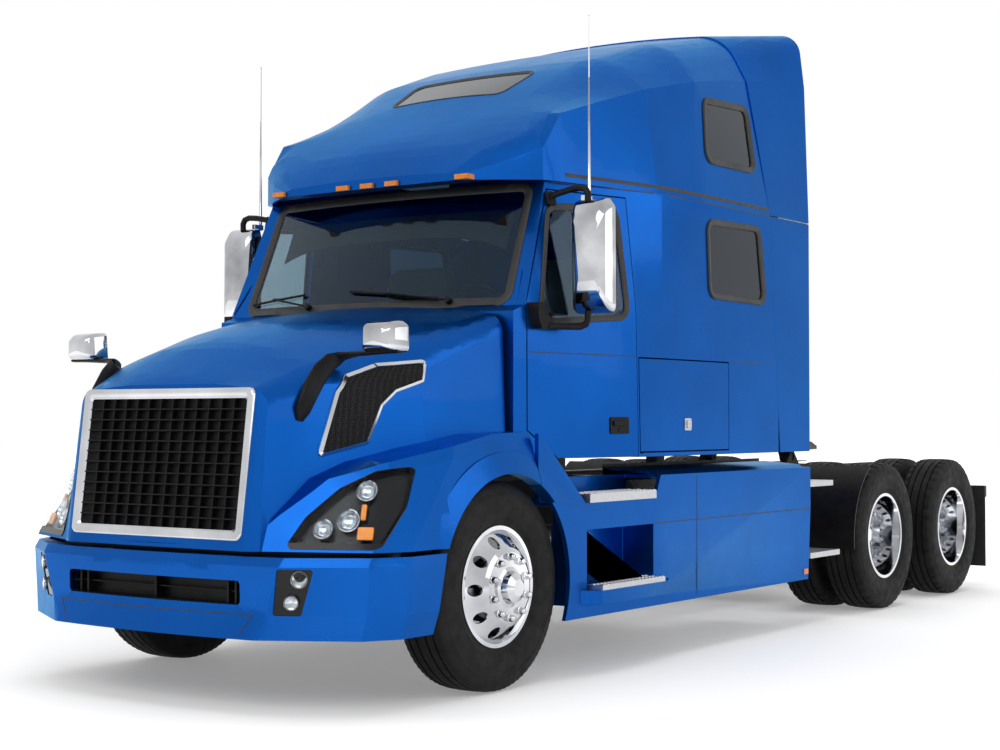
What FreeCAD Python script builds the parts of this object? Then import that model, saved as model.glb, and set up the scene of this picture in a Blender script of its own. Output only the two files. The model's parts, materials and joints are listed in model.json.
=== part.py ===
import FreeCAD, Part
import math
import os
import re
import Sketcher
from FreeCAD import Placement, Rotation, Vector

# Semi truck tractor unit: long nosed sleeper cab on a three axle chassis.
# Frame: +X to the truck's left, +Y to its rear, +Z up, ground at Z = 0, millimetres.
# A station is a distance behind the front axle.

SIZES = {
    # chassis layout
    "front_axle_y": -2700, "axle_height": 515, "wheelbase": 5268, "tandem_spacing": 1296,
    "rail_half_width": 425, "rail_height": 266, "rail_flange": 90, "rail_thickness": 8,
    "rail_top": 985, "rail_front": -1060, "rail_rear": 6650, "crossmember_depth": 70,
    # tyres and wheels
    "tyre_radius": 515, "tyre_width": 275, "bead_radius": 286, "rim_radius": 298, "rim_width": 236,
    "tread_crown": 14, "sidewall_bulge": 400, "disc_thickness": 12, "drum_radius": 176,
    "hub_radius": 110, "hub_bore": 45, "hand_hole_radius": 29,
    "hand_hole_circle": 228, "hand_hole_count": 10, "running_clearance": 0.05,
    "front_wheel_x": 1040, "inner_dual_x": 762, "dual_spacing": 343,
    # steering
    "kingpin_x": 885, "kingpin_radius": 24, "beam_width": 90, "beam_height": 110,
    "beam_drop": 70, "knuckle_gap": 1, "yoke_height": 46,
    # body envelope
    "body_half_width": 1220, "cab_floor": 1127, "belt_height": 1925, "roof_seam": 2600,
    "cab_back": 3000, "fairing_back": 3403, "cab_wall": 50, "roof_wall": 30, "fairing_wall": 20,
    "floor_thickness": 60, "panel_gap": 6, "glass_thickness": 8,
    # doors
    "door_front": 405, "door_rear": 1250, "door_corner": 1277, "door_corner_run": 215,
    "door_top": 2556, "door_rake": 275, "luggage_rear": 2290, "luggage_top": 1675,
    "luggage_bottom": 1150,
    # hood
    "hood_wall": 12, "hood_rear": 290, "hood_bottom": 735, "fender_rear": 254, "arch_radius": 548,
    "sweep_radius": 612, "sweep_half_width": 1150,
    "lip_radius": 655, "lip_reach": 18, "lip_depth": 60,
    "grille_half_width": 569, "grille_bottom": 780, "grille_top": 1487, "grille_border": 48,
    "grille_columns": 13, "grille_rows": 12, "grille_bar": 7, "grille_depth": 30,
    # bumper
    "bumper_wall": 10, "bumper_bottom": 341, "bumper_top": 712, "intake_half_width": 572,
    "intake_bottom": 493, "intake_top": 603, "bracket_width": 80,
    # skirts and steps
    "skirt_bottom": 303, "skirt_top": 1025, "skirt_rear": 3410, "skirt_wall": 25,
    "upper_step_z": 943, "lower_step_z": 470, "step_thickness": 45, "tread_plate": 25, "pan_reach": 72,
    "recess_front": 709, "recess_rear": 1394, "recess_top": 756,
    # fifth wheel
    "fifth_wheel_station": 4900, "plate_radius": 460, "plate_top": 1165, "plate_thickness": 60,
    "kingpin_seat_radius": 25.7, "pivot_radius": 30, "pivot_drop": 110,
    "throat_half_width": 32,
    # rear axles
    "axle_tube_radius": 65, "axle_bowl_radius": 210, "air_spring_radius": 115,
    # drive line
    "gearbox_rear": 1150, "shaft_radius": 50,
    # tanks
    "tank_radius": 285, "tank_x": 830, "tank_z": 640, "tank_front": 2050, "tank_rear": 3400,
}

doc = FreeCAD.newDocument("tractor_unit")
sheet = doc.addObject("Spreadsheet::Sheet", "Sizes")
for row, (alias, value) in enumerate(SIZES.items(), start=1):
    sheet.set("A%d" % row, alias)
    sheet.set("B%d" % row, str(value))
    sheet.setAlias("B%d" % row, alias)
doc.recompute()

WORDS = re.compile(r"\b(" + "|".join(SIZES) + r")\b")
PIECES = []


def size(expression):
    """Value of an expression written with the sheet's names."""
    value = sheet.evalExpression(expression)
    return float(getattr(value, "Value", value))


def bind(target, prop, expression):
    """Tie a property to the sheet."""
    target.setExpression(prop, WORDS.sub(r"Sizes.\1", expression))


def at(station):
    """Y of a station behind the front axle."""
    return size("front_axle_y") + station


# ---------------------------------------------------------------- shapes

def box(x0, x1, y0, y1, z0, z1):
    """Box between stations y0 and y1."""
    low = Vector(min(x0, x1), at(y0), z0)
    return Part.makeBox(abs(x1 - x0), y1 - y0, z1 - z0, low)


def prism(points, axis, start, end, radius=0):
    """Outline pushed along X, Y or Z. Its points are (station, z), (x, z) or (x, station)."""
    if axis == "X":
        corners = [Vector(start, at(a), b) for a, b in points]
        push = Vector(end - start, 0, 0)
    elif axis == "Y":
        corners = [Vector(a, at(start), b) for a, b in points]
        push = Vector(0, end - start, 0)
    else:
        corners = [Vector(a, at(b), start) for a, b in points]
        push = Vector(0, 0, end - start)
    return Part.Face(rounded(corners, radius)).extrude(push)


def rounded(corners, radius):
    """Closed wire through the corners, each rounded by the radius."""
    if radius <= 0:
        return Part.makePolygon(corners + corners[:1])
    edges = []
    joints = []
    count = len(corners)
    for index, corner in enumerate(corners):
        back = (corners[index - 1] - corner).normalize()
        ahead = (corners[(index + 1) % count] - corner).normalize()
        half = back.getAngle(ahead) / 2
        run = radius / math.tan(half)
        inward = (back + ahead).normalize()
        middle = corner + inward * (radius / math.sin(half) - radius)
        joints.append((corner + back * run, middle, corner + ahead * run))
    for index, (start, middle, end) in enumerate(joints):
        edges.append(Part.Arc(start, middle, end).toShape())
        following = joints[(index + 1) % count][0]
        if (following - end).Length > 1e-6:
            edges.append(Part.LineSegment(end, following).toShape())
    return Part.Wire(edges)


def cylinder(radius, length, base, direction):
    return Part.makeCylinder(radius, length, base, direction)


def mirrored(shape):
    """The same shape on the other side of the truck."""
    return shape.mirror(Vector(0, 0, 0), Vector(1, 0, 0))


def both_sides(shape):
    return Part.makeCompound([shape, mirrored(shape)])


def ruled(wires):
    """Solid ruled between closed wires."""
    return Part.makeLoft(list(wires), True, True)


def fused(shapes):
    """One body of touching shapes."""
    return shapes[0].multiFuse(shapes[1:]).removeSplitter()


# ---------------------------------------------------------------- document objects

def piece(label, shape):
    """Sub-part whose shape comes from Part's own functions."""
    solids = shape.Solids
    if len(solids) == 1:
        shape = solids[0]
    else:
        shape = Part.makeCompound(solids)
    feature = doc.addObject("Part::Feature", label)
    feature.Shape = shape
    feature.Placement = shape.Placement
    feature.Label = label
    PIECES.append(feature)
    return feature


def new_body(label):
    body = doc.addObject("PartDesign::Body", label)
    body.Label = label
    return body


def outline_sketch(body, name, role, points, offset=None):
    """Closed outline in one of the body's planes, each corner held by two named distances."""
    sketch = body.newObject("Sketcher::SketchObject", name)
    plane = [entry for entry in body.Origin.OriginFeatures if entry.Role == role][0]
    sketch.AttachmentSupport = [(plane, "")]
    sketch.MapMode = "FlatFace"
    if offset:
        bind(sketch, "AttachmentOffset.Base.z", offset)
    corners = [Vector(size(across), size(up), 0) for across, up in points]
    count = len(corners)
    for index in range(count):
        sketch.addGeometry(Part.LineSegment(corners[index], corners[(index + 1) % count]))
    for index in range(count):
        sketch.addConstraint(Sketcher.Constraint("Coincident", index, 2, (index + 1) % count, 1))
    for index, (across, up) in enumerate(points):
        for kind, expression in (("DistanceX", across), ("DistanceY", up)):
            name = "%s%d" % (kind, index)
            number = sketch.addConstraint(
                Sketcher.Constraint(kind, -1, 1, index, 1, size(expression)))
            sketch.renameConstraint(number, name)
            bind(sketch, "Constraints." + name, expression)
    return sketch


def circle_sketch(body, name, role, across, up, radius):
    """Circle in one of the body's planes with its centre and radius tied to the sheet."""
    sketch = body.newObject("Sketcher::SketchObject", name)
    plane = [entry for entry in body.Origin.OriginFeatures if entry.Role == role][0]
    sketch.AttachmentSupport = [(plane, "")]
    sketch.MapMode = "FlatFace"
    centre = Vector(size(across), size(up), 0)
    sketch.addGeometry(Part.Circle(centre, Vector(0, 0, 1), size(radius)))
    for kind, name, expression in (("DistanceX", "Across", across), ("DistanceY", "Up", up)):
        number = sketch.addConstraint(Sketcher.Constraint(kind, -1, 1, 0, 3, size(expression)))
        sketch.renameConstraint(number, name)
        bind(sketch, "Constraints." + name, expression)
    number = sketch.addConstraint(Sketcher.Constraint("Radius", 0, size(radius)))
    sketch.renameConstraint(number, "Radius")
    bind(sketch, "Constraints.Radius", radius)
    return sketch


def revolved_body(label, points):
    """Ring about the body's own X axis."""
    body = new_body(label)
    profile = outline_sketch(body, label + "_profile", "XZ_Plane", points)
    turn = body.newObject("PartDesign::Revolution", label + "_turn")
    turn.Profile = profile
    turn.ReferenceAxis = (profile, ["H_Axis"])
    turn.Angle = 360
    doc.recompute()
    return body


def padded_body(label, role, points, length, offset):
    """Outline pushed along the body's plane normal from an offset plane."""
    body = new_body(label)
    profile = outline_sketch(body, label + "_profile", role, points, offset)
    pad = body.newObject("PartDesign::Pad", label + "_pad")
    pad.Profile = profile
    bind(pad, "Length", length)
    doc.recompute()
    return body


def place(feature, across, along, up, turned=0):
    """Put a sub-part at its place, turned about Z, with the place tied to the sheet."""
    feature.Placement = Placement(
        Vector(size(across), size(along), size(up)), Rotation(Vector(0, 0, 1), turned))
    for axis, expression in (("x", across), ("y", along), ("z", up)):
        bind(feature, "Placement.Base." + axis, expression)
    PIECES.append(feature)


# ---------------------------------------------------------------- tyres and wheels

def tyre_outline():
    """Half section of a road tyre: beads on the rim, bulged sidewalls and a plain tread band."""
    edge = "tyre_width / 2"
    return [("-rim_width / 2 + 6", "bead_radius"), ("-rim_width / 2 + 6", "rim_radius + 4"),
            ("-" + edge, "sidewall_bulge"), ("-" + edge + " + 20", "tyre_radius - tread_crown"),
            ("-" + edge + " + 42", "tyre_radius"), (edge + " - 42", "tyre_radius"),
            (edge + " - 20", "tyre_radius - tread_crown"), (edge, "sidewall_bulge"),
            ("rim_width / 2 - 6", "rim_radius + 4"), ("rim_width / 2 - 6", "bead_radius")]


def rim_outline(middle, side):
    """Outer skin of one rim from its outer lip to its inner lip, middle at the rim's centre plane."""
    lip = "%s %s rim_width / 2"
    near = "+" if side > 0 else "-"
    far = "-" if side > 0 else "+"
    return [(lip % (middle, near), "bead_radius - 8"), (lip % (middle, near), "rim_radius"),
            (lip % (middle, near) + " %s 6" % far, "rim_radius"),
            (lip % (middle, near) + " %s 6" % far, "bead_radius"),
            (lip % (middle, far) + " %s 6" % near, "bead_radius"),
            (lip % (middle, far) + " %s 6" % near, "rim_radius"),
            (lip % (middle, far), "rim_radius"),
            (lip % (middle, far), "bead_radius - 12")]


def front_wheel_outline():
    """Half section of a steer wheel: closed hub, bowed disc, rim and brake drum."""
    face = "dual_spacing / 2"
    return [("-40", "hub_bore"), (face + " + 40", "hub_bore"), (face + " + 40", "0"),
            (face + " + 68", "0"), (face + " + 68", "hub_bore - 3"),
            (face + " + 50", "hub_bore + 28"), (face + " + 18", "hub_radius - 28"),
            (face + " + disc_thickness", "hub_radius - 10"),
            (face + " + disc_thickness", "hub_radius + 62"),
            (face, "hub_radius + 85"), ("rim_width / 2 - 10", "bead_radius - 20"),
            ("rim_width / 2 - 16", "bead_radius - 12")] + rim_outline("0", 1) + [
            ("-rim_width / 2 + 38", "bead_radius - 20"), ("rim_width / 2 - 34", "bead_radius - 20"),
            ("rim_width / 2 - 28", "bead_radius - 24"), (face + " - 8", "drum_radius + 12"),
            (face + " - 8", "drum_radius"), ("-90", "drum_radius"), ("-90", "drum_radius - 14"),
            (face + " - 22", "drum_radius - 14"), (face + " - 22", "hub_radius - 10"),
            ("-40", "hub_radius - 20")]


def dual_wheel_outline():
    """Half section of a pair of rims bolted back to back on one hub with its drum."""
    outer = "dual_spacing / 2"
    inner = "-dual_spacing / 2"
    return [("-150", "hub_bore"), ("150", "hub_bore"), ("150", "0"), ("178", "0"),
            ("178", "hub_bore - 5"), ("165", "hub_bore + 25"), ("60", "hub_radius - 30"),
            ("disc_thickness", "hub_radius - 10"), ("disc_thickness", "hub_radius + 62"),
            ("50", "bead_radius - 22"), (outer + " + rim_width / 2 - 60", "bead_radius - 20"),
            (outer + " + rim_width / 2 - 30", "bead_radius - 14")] + rim_outline(outer, 1) + [
            ("30", "bead_radius - 18"), ("0", "hub_radius + 85"), ("-30", "bead_radius - 18"),
            (inner + " + rim_width / 2", "bead_radius - 12")] + rim_outline(inner, 1)[:-1] + [
            (inner + " - rim_width / 2", "bead_radius - 20"),
            (inner + " - rim_width / 2 + 60", "bead_radius - 20"), ("-50", "bead_radius - 22"),
            ("-disc_thickness", "hub_radius + 70"), ("-disc_thickness", "drum_radius"),
            ("-230", "drum_radius"), ("-230", "drum_radius - 14"), ("-30", "drum_radius - 14"),
            ("-30", "hub_radius - 10"), ("-150", "hub_radius - 20")]


def hand_holes(body, label):
    """Ring of round holes through the disc."""
    turn = "(180 deg / hand_hole_count)"
    sketch = circle_sketch(body, label + "_hole", "YZ_Plane", "hand_hole_circle * sin" + turn,
                           "hand_hole_circle * cos" + turn, "hand_hole_radius")
    pocket = body.newObject("PartDesign::Pocket", label + "_cut")
    pocket.Profile = sketch
    pocket.Type = "ThroughAll"
    pocket.Midplane = True
    doc.recompute()
    before = body.Shape.Volume
    ring = body.newObject("PartDesign::PolarPattern", label + "_ring")
    ring.Originals = [pocket]
    axle = [entry for entry in body.Origin.OriginFeatures if entry.Role == "X_Axis"][0]
    ring.Axis = (axle, [""])
    ring.Angle = 360
    bind(ring, "Occurrences", "hand_hole_count")
    body.Tip = ring
    doc.recompute()
    if not 0 < body.Shape.Volume < before:
        raise ValueError(label + ": the holes cut nothing")


def tyres_and_wheels():
    """Single steer wheels in front and dual wheels on both drive axles."""
    for side, turned, sign in (("left", 0, ""), ("right", 180, "-")):
        along = ("front_axle_y", "axle_height")
        tyre = revolved_body("front_tyre_" + side, tyre_outline())
        place(tyre, sign + "front_wheel_x", *along, turned)
        wheel = revolved_body("front_wheel_" + side, front_wheel_outline())
        hand_holes(wheel, "front_wheel_" + side)
        place(wheel, sign + "front_wheel_x", *along, turned)
        for axle, shift in (("forward", "-"), ("rearward", "+")):
            along = ("front_axle_y + wheelbase %s tandem_spacing / 2" % shift, "axle_height")
            across = sign + "(inner_dual_x + dual_spacing / 2)"
            name = "%s_%s" % (axle, side)
            pair = Part.makeCompound([tyre_ring(sign_x * size("dual_spacing") / 2)
                                      for sign_x in (-1, 1)])
            tyres = doc.addObject("Part::Feature", "dual_tyres_" + name)
            tyres.Shape = pair
            tyres.Label = "dual_tyres_" + name
            place(tyres, across, *along, turned)
            wheel = revolved_body("dual_wheel_" + name, dual_wheel_outline())
            hand_holes(wheel, "dual_wheel_" + name)
            place(wheel, across, *along, turned)


def tyre_ring(middle):
    """Tyre as a plain solid of revolution about X."""
    corners = [Vector(size(across) + middle, 0, size(up)) for across, up in tyre_outline()]
    face = Part.Face(Part.makePolygon(corners + corners[:1]))
    return face.revolve(Vector(0, 0, 0), Vector(1, 0, 0), 360)


# ---------------------------------------------------------------- chassis

def frame_rails():
    """Two channels, web outward, along the whole chassis: one padded body and its mirror image."""
    web = "rail_half_width - rail_thickness"
    lip = "rail_half_width - rail_flange"
    low = "rail_top - rail_height"
    outline = [("rail_half_width", low), ("rail_half_width", "rail_top"), (lip, "rail_top"),
               (lip, "rail_top - rail_thickness"), (web, "rail_top - rail_thickness"),
               (web, low + " + rail_thickness"), (lip, low + " + rail_thickness"), (lip, low)]
    rail = padded_body("frame_rail", "XZ_Plane", outline, "rail_rear - rail_front",
                       "-(front_axle_y + rail_rear)")
    other = doc.addObject("Part::Mirroring", "frame_rail_mirror")
    other.Source = rail
    other.Normal = Vector(1, 0, 0)
    pair = doc.addObject("Part::Compound", "frame_rails")
    pair.Links = [rail, other]
    pair.Label = "frame_rails"
    PIECES.append(pair)


def crossmembers():
    """Box beams between the rails' webs."""
    web = size("rail_half_width - rail_thickness")
    skin = size("rail_thickness")
    top = size("rail_top") - skin
    low = size("rail_top - rail_height") + skin
    depth = size("crossmember_depth")
    middle = size("wheelbase")
    beams = [box(-web, web, station, station + depth, low + 20, top - 20)
             for station in (size("rail_front"), 1500, 2900, 4000, middle - depth / 2, 6500)]
    piece("crossmembers", Part.makeCompound(beams))


def front_axle():
    """Drop centre beam with an upright pin in each end boss."""
    pin_x = size("kingpin_x")
    mid = size("axle_height")
    high = mid + size("beam_height") / 2
    drop = size("beam_drop")
    half = size("beam_width") / 2
    knee = pin_x - 110
    foot = knee - 130
    base = mid - size("beam_height") / 2
    outline = [(-pin_x, high), (-knee, high), (-foot, high - drop), (foot, high - drop),
               (knee, high), (pin_x, high), (pin_x, base), (knee, base), (foot, base - drop + 20),
               (-foot, base - drop + 20), (-knee, base), (-pin_x, base)]
    beam = [prism(outline, "Y", -half, half)]
    for side in (-1, 1):
        seat = Vector(side * pin_x, at(0), base)
        beam.append(cylinder(half, high - base, seat, Vector(0, 0, 1)))
        reach = size("knuckle_gap + yoke_height")
        foot_of_pin = Vector(side * pin_x, at(0), base - reach)
        beam.append(cylinder(size("kingpin_radius"), high - base + 2 * reach, foot_of_pin, Vector(0, 0, 1)))
    piece("front_axle_beam", fused(beam))


def knuckle(side):
    """Yoke round the pin, carrying the spindle of a steer wheel."""
    pin = size("kingpin_x")
    mid = size("axle_height")
    ear_low = size("beam_height") / 2 + size("knuckle_gap")
    ear_high = ear_low + size("yoke_height")
    half = size("beam_width") / 2
    back = pin + half + 12
    face = back + 30
    parts = [box(back, face, -half - 15, half + 15, mid - ear_high, mid + ear_high)]
    for low, high in ((ear_low, ear_high), (-ear_high, -ear_low)):
        parts.append(box(pin, face, -half, half, mid + low, mid + high))
        parts.append(cylinder(half, high - low, Vector(pin, at(0), mid + low), Vector(0, 0, 1)))
    end = size("front_wheel_x + dual_spacing / 2 + 35")
    spindle = size("hub_bore - running_clearance")
    parts.append(cylinder(spindle, end - back, Vector(back, at(0), mid), Vector(1, 0, 0)))
    shape = fused(parts)
    bore = size("kingpin_radius + running_clearance")
    shape = shape.cut(cylinder(bore, 2 * ear_high, Vector(pin, at(0), mid - ear_high), Vector(0, 0, 1)))
    if side < 0:
        shape = mirrored(shape)
    return shape


def knuckles():
    piece("knuckle_left", knuckle(1))
    piece("knuckle_right", knuckle(-1))


def axle_housings():
    """Axle housings: a round bulge for the gears, tubes to both sides and a spindle in each hub."""
    spindle = size("hub_bore - running_clearance")
    end = size("inner_dual_x + dual_spacing / 2 + 145")
    tube = size("axle_tube_radius")
    bowl = size("axle_bowl_radius")
    half = [(330, tube), (640, tube), (690, spindle), (end, spindle), (end, 0)]
    corners = [(-x, r) for x, r in reversed(half)] + [(-170, bowl), (170, bowl)] + half
    profile = [Vector(x, at(0), size("axle_height") + r) for x, r in corners]
    face = Part.Face(Part.makePolygon(profile + profile[:1]))
    housing = face.revolve(Vector(0, at(0), size("axle_height")), Vector(1, 0, 0), 360)
    axles = []
    for shift in (-0.5, 0.5):
        copy = housing.copy()
        copy.translate(Vector(0, size("wheelbase") + shift * size("tandem_spacing"), 0))
        axles.append(copy)
    return axles


def drive_axles():
    piece("drive_axle_housings", Part.makeCompound(axle_housings()))


def suspension():
    """Leaf springs under the front of the rails, trailing arms and air springs at the rear."""
    rail_low = size("rail_top - rail_height")
    beam_top = size("axle_height + beam_height / 2 - beam_drop")
    out = size("rail_half_width")
    lip = size("rail_half_width - 70")
    leaf = [(-620, 640), (-300, beam_top + 66), (0, beam_top + 45), (300, beam_top + 66), (620, 640),
            (640, 590), (300, beam_top + 18), (0, beam_top), (-300, beam_top + 18), (-640, 590)]
    spring = prism(leaf, "X", lip, out)
    hangers = [box(lip, out, station, station + 60, 600, rail_low) for station in (-650, 590)]
    parts = [fused([spring] + hangers)]
    for shift in (-0.5, 0.5):
        hub = size("wheelbase") + shift * size("tandem_spacing")
        mid = size("axle_height")
        arm = [(-640, 640), (-560, 640), (-80, mid - 20), (80, mid - 20), (440, mid - 50),
               (440, mid - 90), (0, mid - 110), (-560, 560), (-640, 560)]
        arm = prism([(hub + a, b) for a, b in arm], "X", lip, out)
        tube = cylinder(size("axle_tube_radius"), 400, Vector(200, at(hub), mid), Vector(1, 0, 0))
        hanger = box(lip, out, hub - 640, hub - 560, 600, rail_low)
        bag = cylinder(size("air_spring_radius"), rail_low - mid + 50,
                       Vector((lip + out) / 2, at(hub + 320), mid - 50), Vector(0, 0, 1))
        parts.append(fused([arm.cut(tube), hanger, bag]))
    piece("suspension", both_sides(Part.makeCompound(parts)))


def power_train():
    """Engine with its gearbox as one plain block on feet in the rails, radiator and drive shafts."""
    web = size("rail_half_width - rail_thickness")
    engine = prism([(-620, 660), (-620, 1420), (-480, 1480), (200, 1480), (240, 1380), (240, 660)],
                   "X", -320, 320)
    gearbox = box(-200, 200, 240, size("gearbox_rear"), 600, 1000)
    feet = [box(-web, web, station, station + 80, 760, 900) for station in (-450, 60)]
    piece("engine_block", fused([engine, gearbox] + feet))
    top = size("rail_top")
    piece("radiator", box(-470, 470, -1020, -900, top, 1430).fuse(
        box(-330, 330, -980, -910, 800, top)).removeSplitter())
    radius = size("shaft_radius")
    half = size("tandem_spacing / 2")
    bowl = size("axle_bowl_radius") - 20
    gear = Vector(0, at(size("gearbox_rear")), 690)
    nose = Vector(0, at(size("wheelbase") - half - bowl), size("axle_height") + 20)
    long = cylinder(radius, (nose - gear).Length, gear, nose - gear)
    start = Vector(0, at(size("wheelbase") - half + bowl), size("axle_height"))
    short = cylinder(radius, 2 * half - 2 * bowl, start, Vector(0, 1, 0))
    housings = Part.makeCompound(axle_housings())
    shafts = [part.cut(housings).cut(gearbox) for part in (long, short)]
    piece("drive_shafts", Part.makeCompound(shafts))


def fuel_tanks():
    """Round tanks along both rails with a bracket to the rail at each strap."""
    radius = size("tank_radius")
    centre = Vector(size("tank_x"), at(size("tank_front")), size("tank_z"))
    tank = cylinder(radius, size("tank_rear - tank_front"), centre, Vector(0, 1, 0))
    parts = [tank]
    inner = size("rail_half_width")
    for station in (size("tank_front") + 250, size("tank_rear") - 140):
        hoop = cylinder(radius + 6, 60, Vector(centre.x, at(station), centre.z), Vector(0, 1, 0))
        parts.append(hoop)
        bracket = [(inner, size("rail_top") - 30), (inner + 90, size("rail_top") - 30),
                   (centre.x, centre.z), (inner, size("rail_top - rail_height"))]
        parts.append(prism(bracket, "Y", station, station + 60))
    piece("fuel_tanks", both_sides(fused(parts)))


def fifth_wheel():
    """Coupling plate that rocks on a cross pin between two stands on the rails."""
    middle = size("fifth_wheel_station")
    radius = size("plate_radius")
    top = size("plate_top")
    thick = size("plate_thickness")
    pivot = top - size("pivot_drop")
    pin = size("pivot_radius")
    disc = cylinder(radius, thick, Vector(0, at(middle), top - thick), Vector(0, 0, 1))
    ramp = prism([(-radius, middle), (radius, middle), (330, middle + 520), (-330, middle + 520)],
                 "Z", top - thick, top)
    plate = disc.fuse(ramp)
    throat = prism([(-size("throat_half_width"), middle + 90), (size("throat_half_width"), middle + 90),
                    (210, middle + 600), (-210, middle + 600)], "Z", top - thick - 1, top + 1)
    plate = plate.cut(throat)
    fall = prism([(middle + 300, top + 1), (middle + 600, top + 1), (middle + 600, top - 50)],
                 "X", -radius, radius)
    plate = plate.cut(fall)
    lug = prism([(middle - 70, top - thick), (middle + 70, top - thick), (middle + 40, pivot),
                 (middle - 40, pivot)], "X", 285, 325)
    boss = cylinder(40, 40, Vector(285, at(middle), pivot), Vector(1, 0, 0))
    shaft = cylinder(pin, 80, Vector(285, at(middle), pivot), Vector(1, 0, 0))
    side = fused([lug, boss, shaft])
    plate = fused([plate, side, mirrored(side)])
    seat = cylinder(size("kingpin_seat_radius"), thick + 2, Vector(0, at(middle), top - thick - 1),
                    Vector(0, 0, 1))
    piece("fifth_wheel_plate", plate.cut(seat))

    rail_top = size("rail_top")
    foot = box(331, 425, middle - 200, middle + 200, rail_top, rail_top + 16)
    stand = prism([(middle - 110, rail_top + 16), (middle + 110, rail_top + 16), (middle + 45, pivot + 20),
                   (middle + 25, pivot + 42), (middle - 25, pivot + 42), (middle - 45, pivot + 20)],
                  "X", 335, 375)
    bore = cylinder(pin + size("running_clearance"), 60, Vector(331, at(middle), pivot), Vector(1, 0, 0))
    base = foot.fuse(stand).cut(bore)
    deck = box(-331, 331, middle - 60, middle + 60, rail_top, rail_top + 16)
    piece("fifth_wheel_base", fused([base, mirrored(base), deck]))


# ---------------------------------------------------------------- cab and sleeper

def plan_wire(height, row, back):
    """Plan of the cab at one height: curved front, door flank, straight sleeper side, flat back."""
    front, pillar, door, jamb, side = row
    nose = Part.Arc(Vector(-pillar[0], at(pillar[1]), height), Vector(0, at(front), height),
                    Vector(pillar[0], at(pillar[1]), height)).toShape()
    half = [pillar, door, jamb, side, (side[0], back)]
    corners = [Vector(x, at(y), height) for x, y in half]
    corners += [Vector(-x, at(y), height) for x, y in reversed(half)]
    edges = [nose] + [Part.LineSegment(a, b).toShape() for a, b in zip(corners, corners[1:])]
    return Part.Wire(edges)


def cab_block(inset, back, low=0, high=0):
    """Cab and sleeper below the roof, drawn in by inset; low and high lengthen it past its ends."""
    half = size("body_half_width")
    belt = size("belt_height")
    # height, front, windscreen corner, door front corner, door rear corner, full width
    rows = [(size("cab_floor") - low, 300, (930, 325), (1030, 310), (half - 5, 1250), (half, 1500)),
            (belt - 35, 300, (930, 325), (1030, 310), (half - 20, 1250), (half, 1500)),
            (belt, 325, (931, 413), (1040, 405), (half - 21, 1250), (half, 1500)),
            (size("roof_seam") + high, 600, (897, 692), (975, 680), (half - 92, 1250), (half, 1500))]
    wires = []
    for height, front, *corners in rows:
        moved = [(corners[0][0] - 0.7 * inset, corners[0][1] + inset),
                 (corners[1][0] - inset, corners[1][1] + inset)]
        moved += [(x - inset, y) for x, y in corners[2:]]
        wires.append(plan_wire(height, [front + inset] + moved, back))
    levels = [ruled(pair) for pair in zip(wires, wires[1:])]
    return levels[0].multiFuse(levels[1:])


def door_outline(gap):
    """Door in side view, drawn in by gap on every edge."""
    front = size("door_front") + gap
    rear = size("door_rear") - gap
    top = size("door_top") - gap
    low = size("cab_floor") + gap
    corner = size("door_corner") + 0.4 * gap
    belt = size("belt_height")
    return [(front, corner), (front, belt), (front + size("door_rake"), top), (rear, top), (rear, low),
            (front + size("door_corner_run") + 0.4 * gap, low)]


def luggage_outline(gap):
    return [(size("door_rear") + 12 + gap, size("luggage_bottom") + gap),
            (size("luggage_rear") - gap, size("luggage_bottom") + gap),
            (size("luggage_rear") - gap, size("luggage_top") - gap),
            (size("door_rear") + 12 + gap, size("luggage_top") - gap)]


def windscreen_outline(gap):
    """Windscreen opening in front view."""
    return [(-915 + gap, 1945 + gap), (915 - gap, 1945 + gap), (885 - gap, 2575 - gap),
            (-885 + gap, 2575 - gap)]


# corners as (station, height) in side view
LOWER_WINDOW = [(2030, 2493), (2680, 2505), (2760, 2054), (2059, 2060)]
UPPER_WINDOW = [(2103, 3227), (2700, 3262), (2697, 2870), (2069, 2861)]
DOOR_WINDOW = [(672, 2455), (1165, 2500), (1180, 1890), (498, 1838)]
# corners as (x, station) in plan view
SKYLIGHT = [(-395, 1090), (395, 1090), (435, 1400), (-435, 1400)]


def fairing_line():
    """Everything behind the raked seam ahead of the rear fairings, in side view."""
    return [(2985, 1000), (2830, 2720), (2700, 4000), (4000, 4000), (4000, 1000)]


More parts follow.
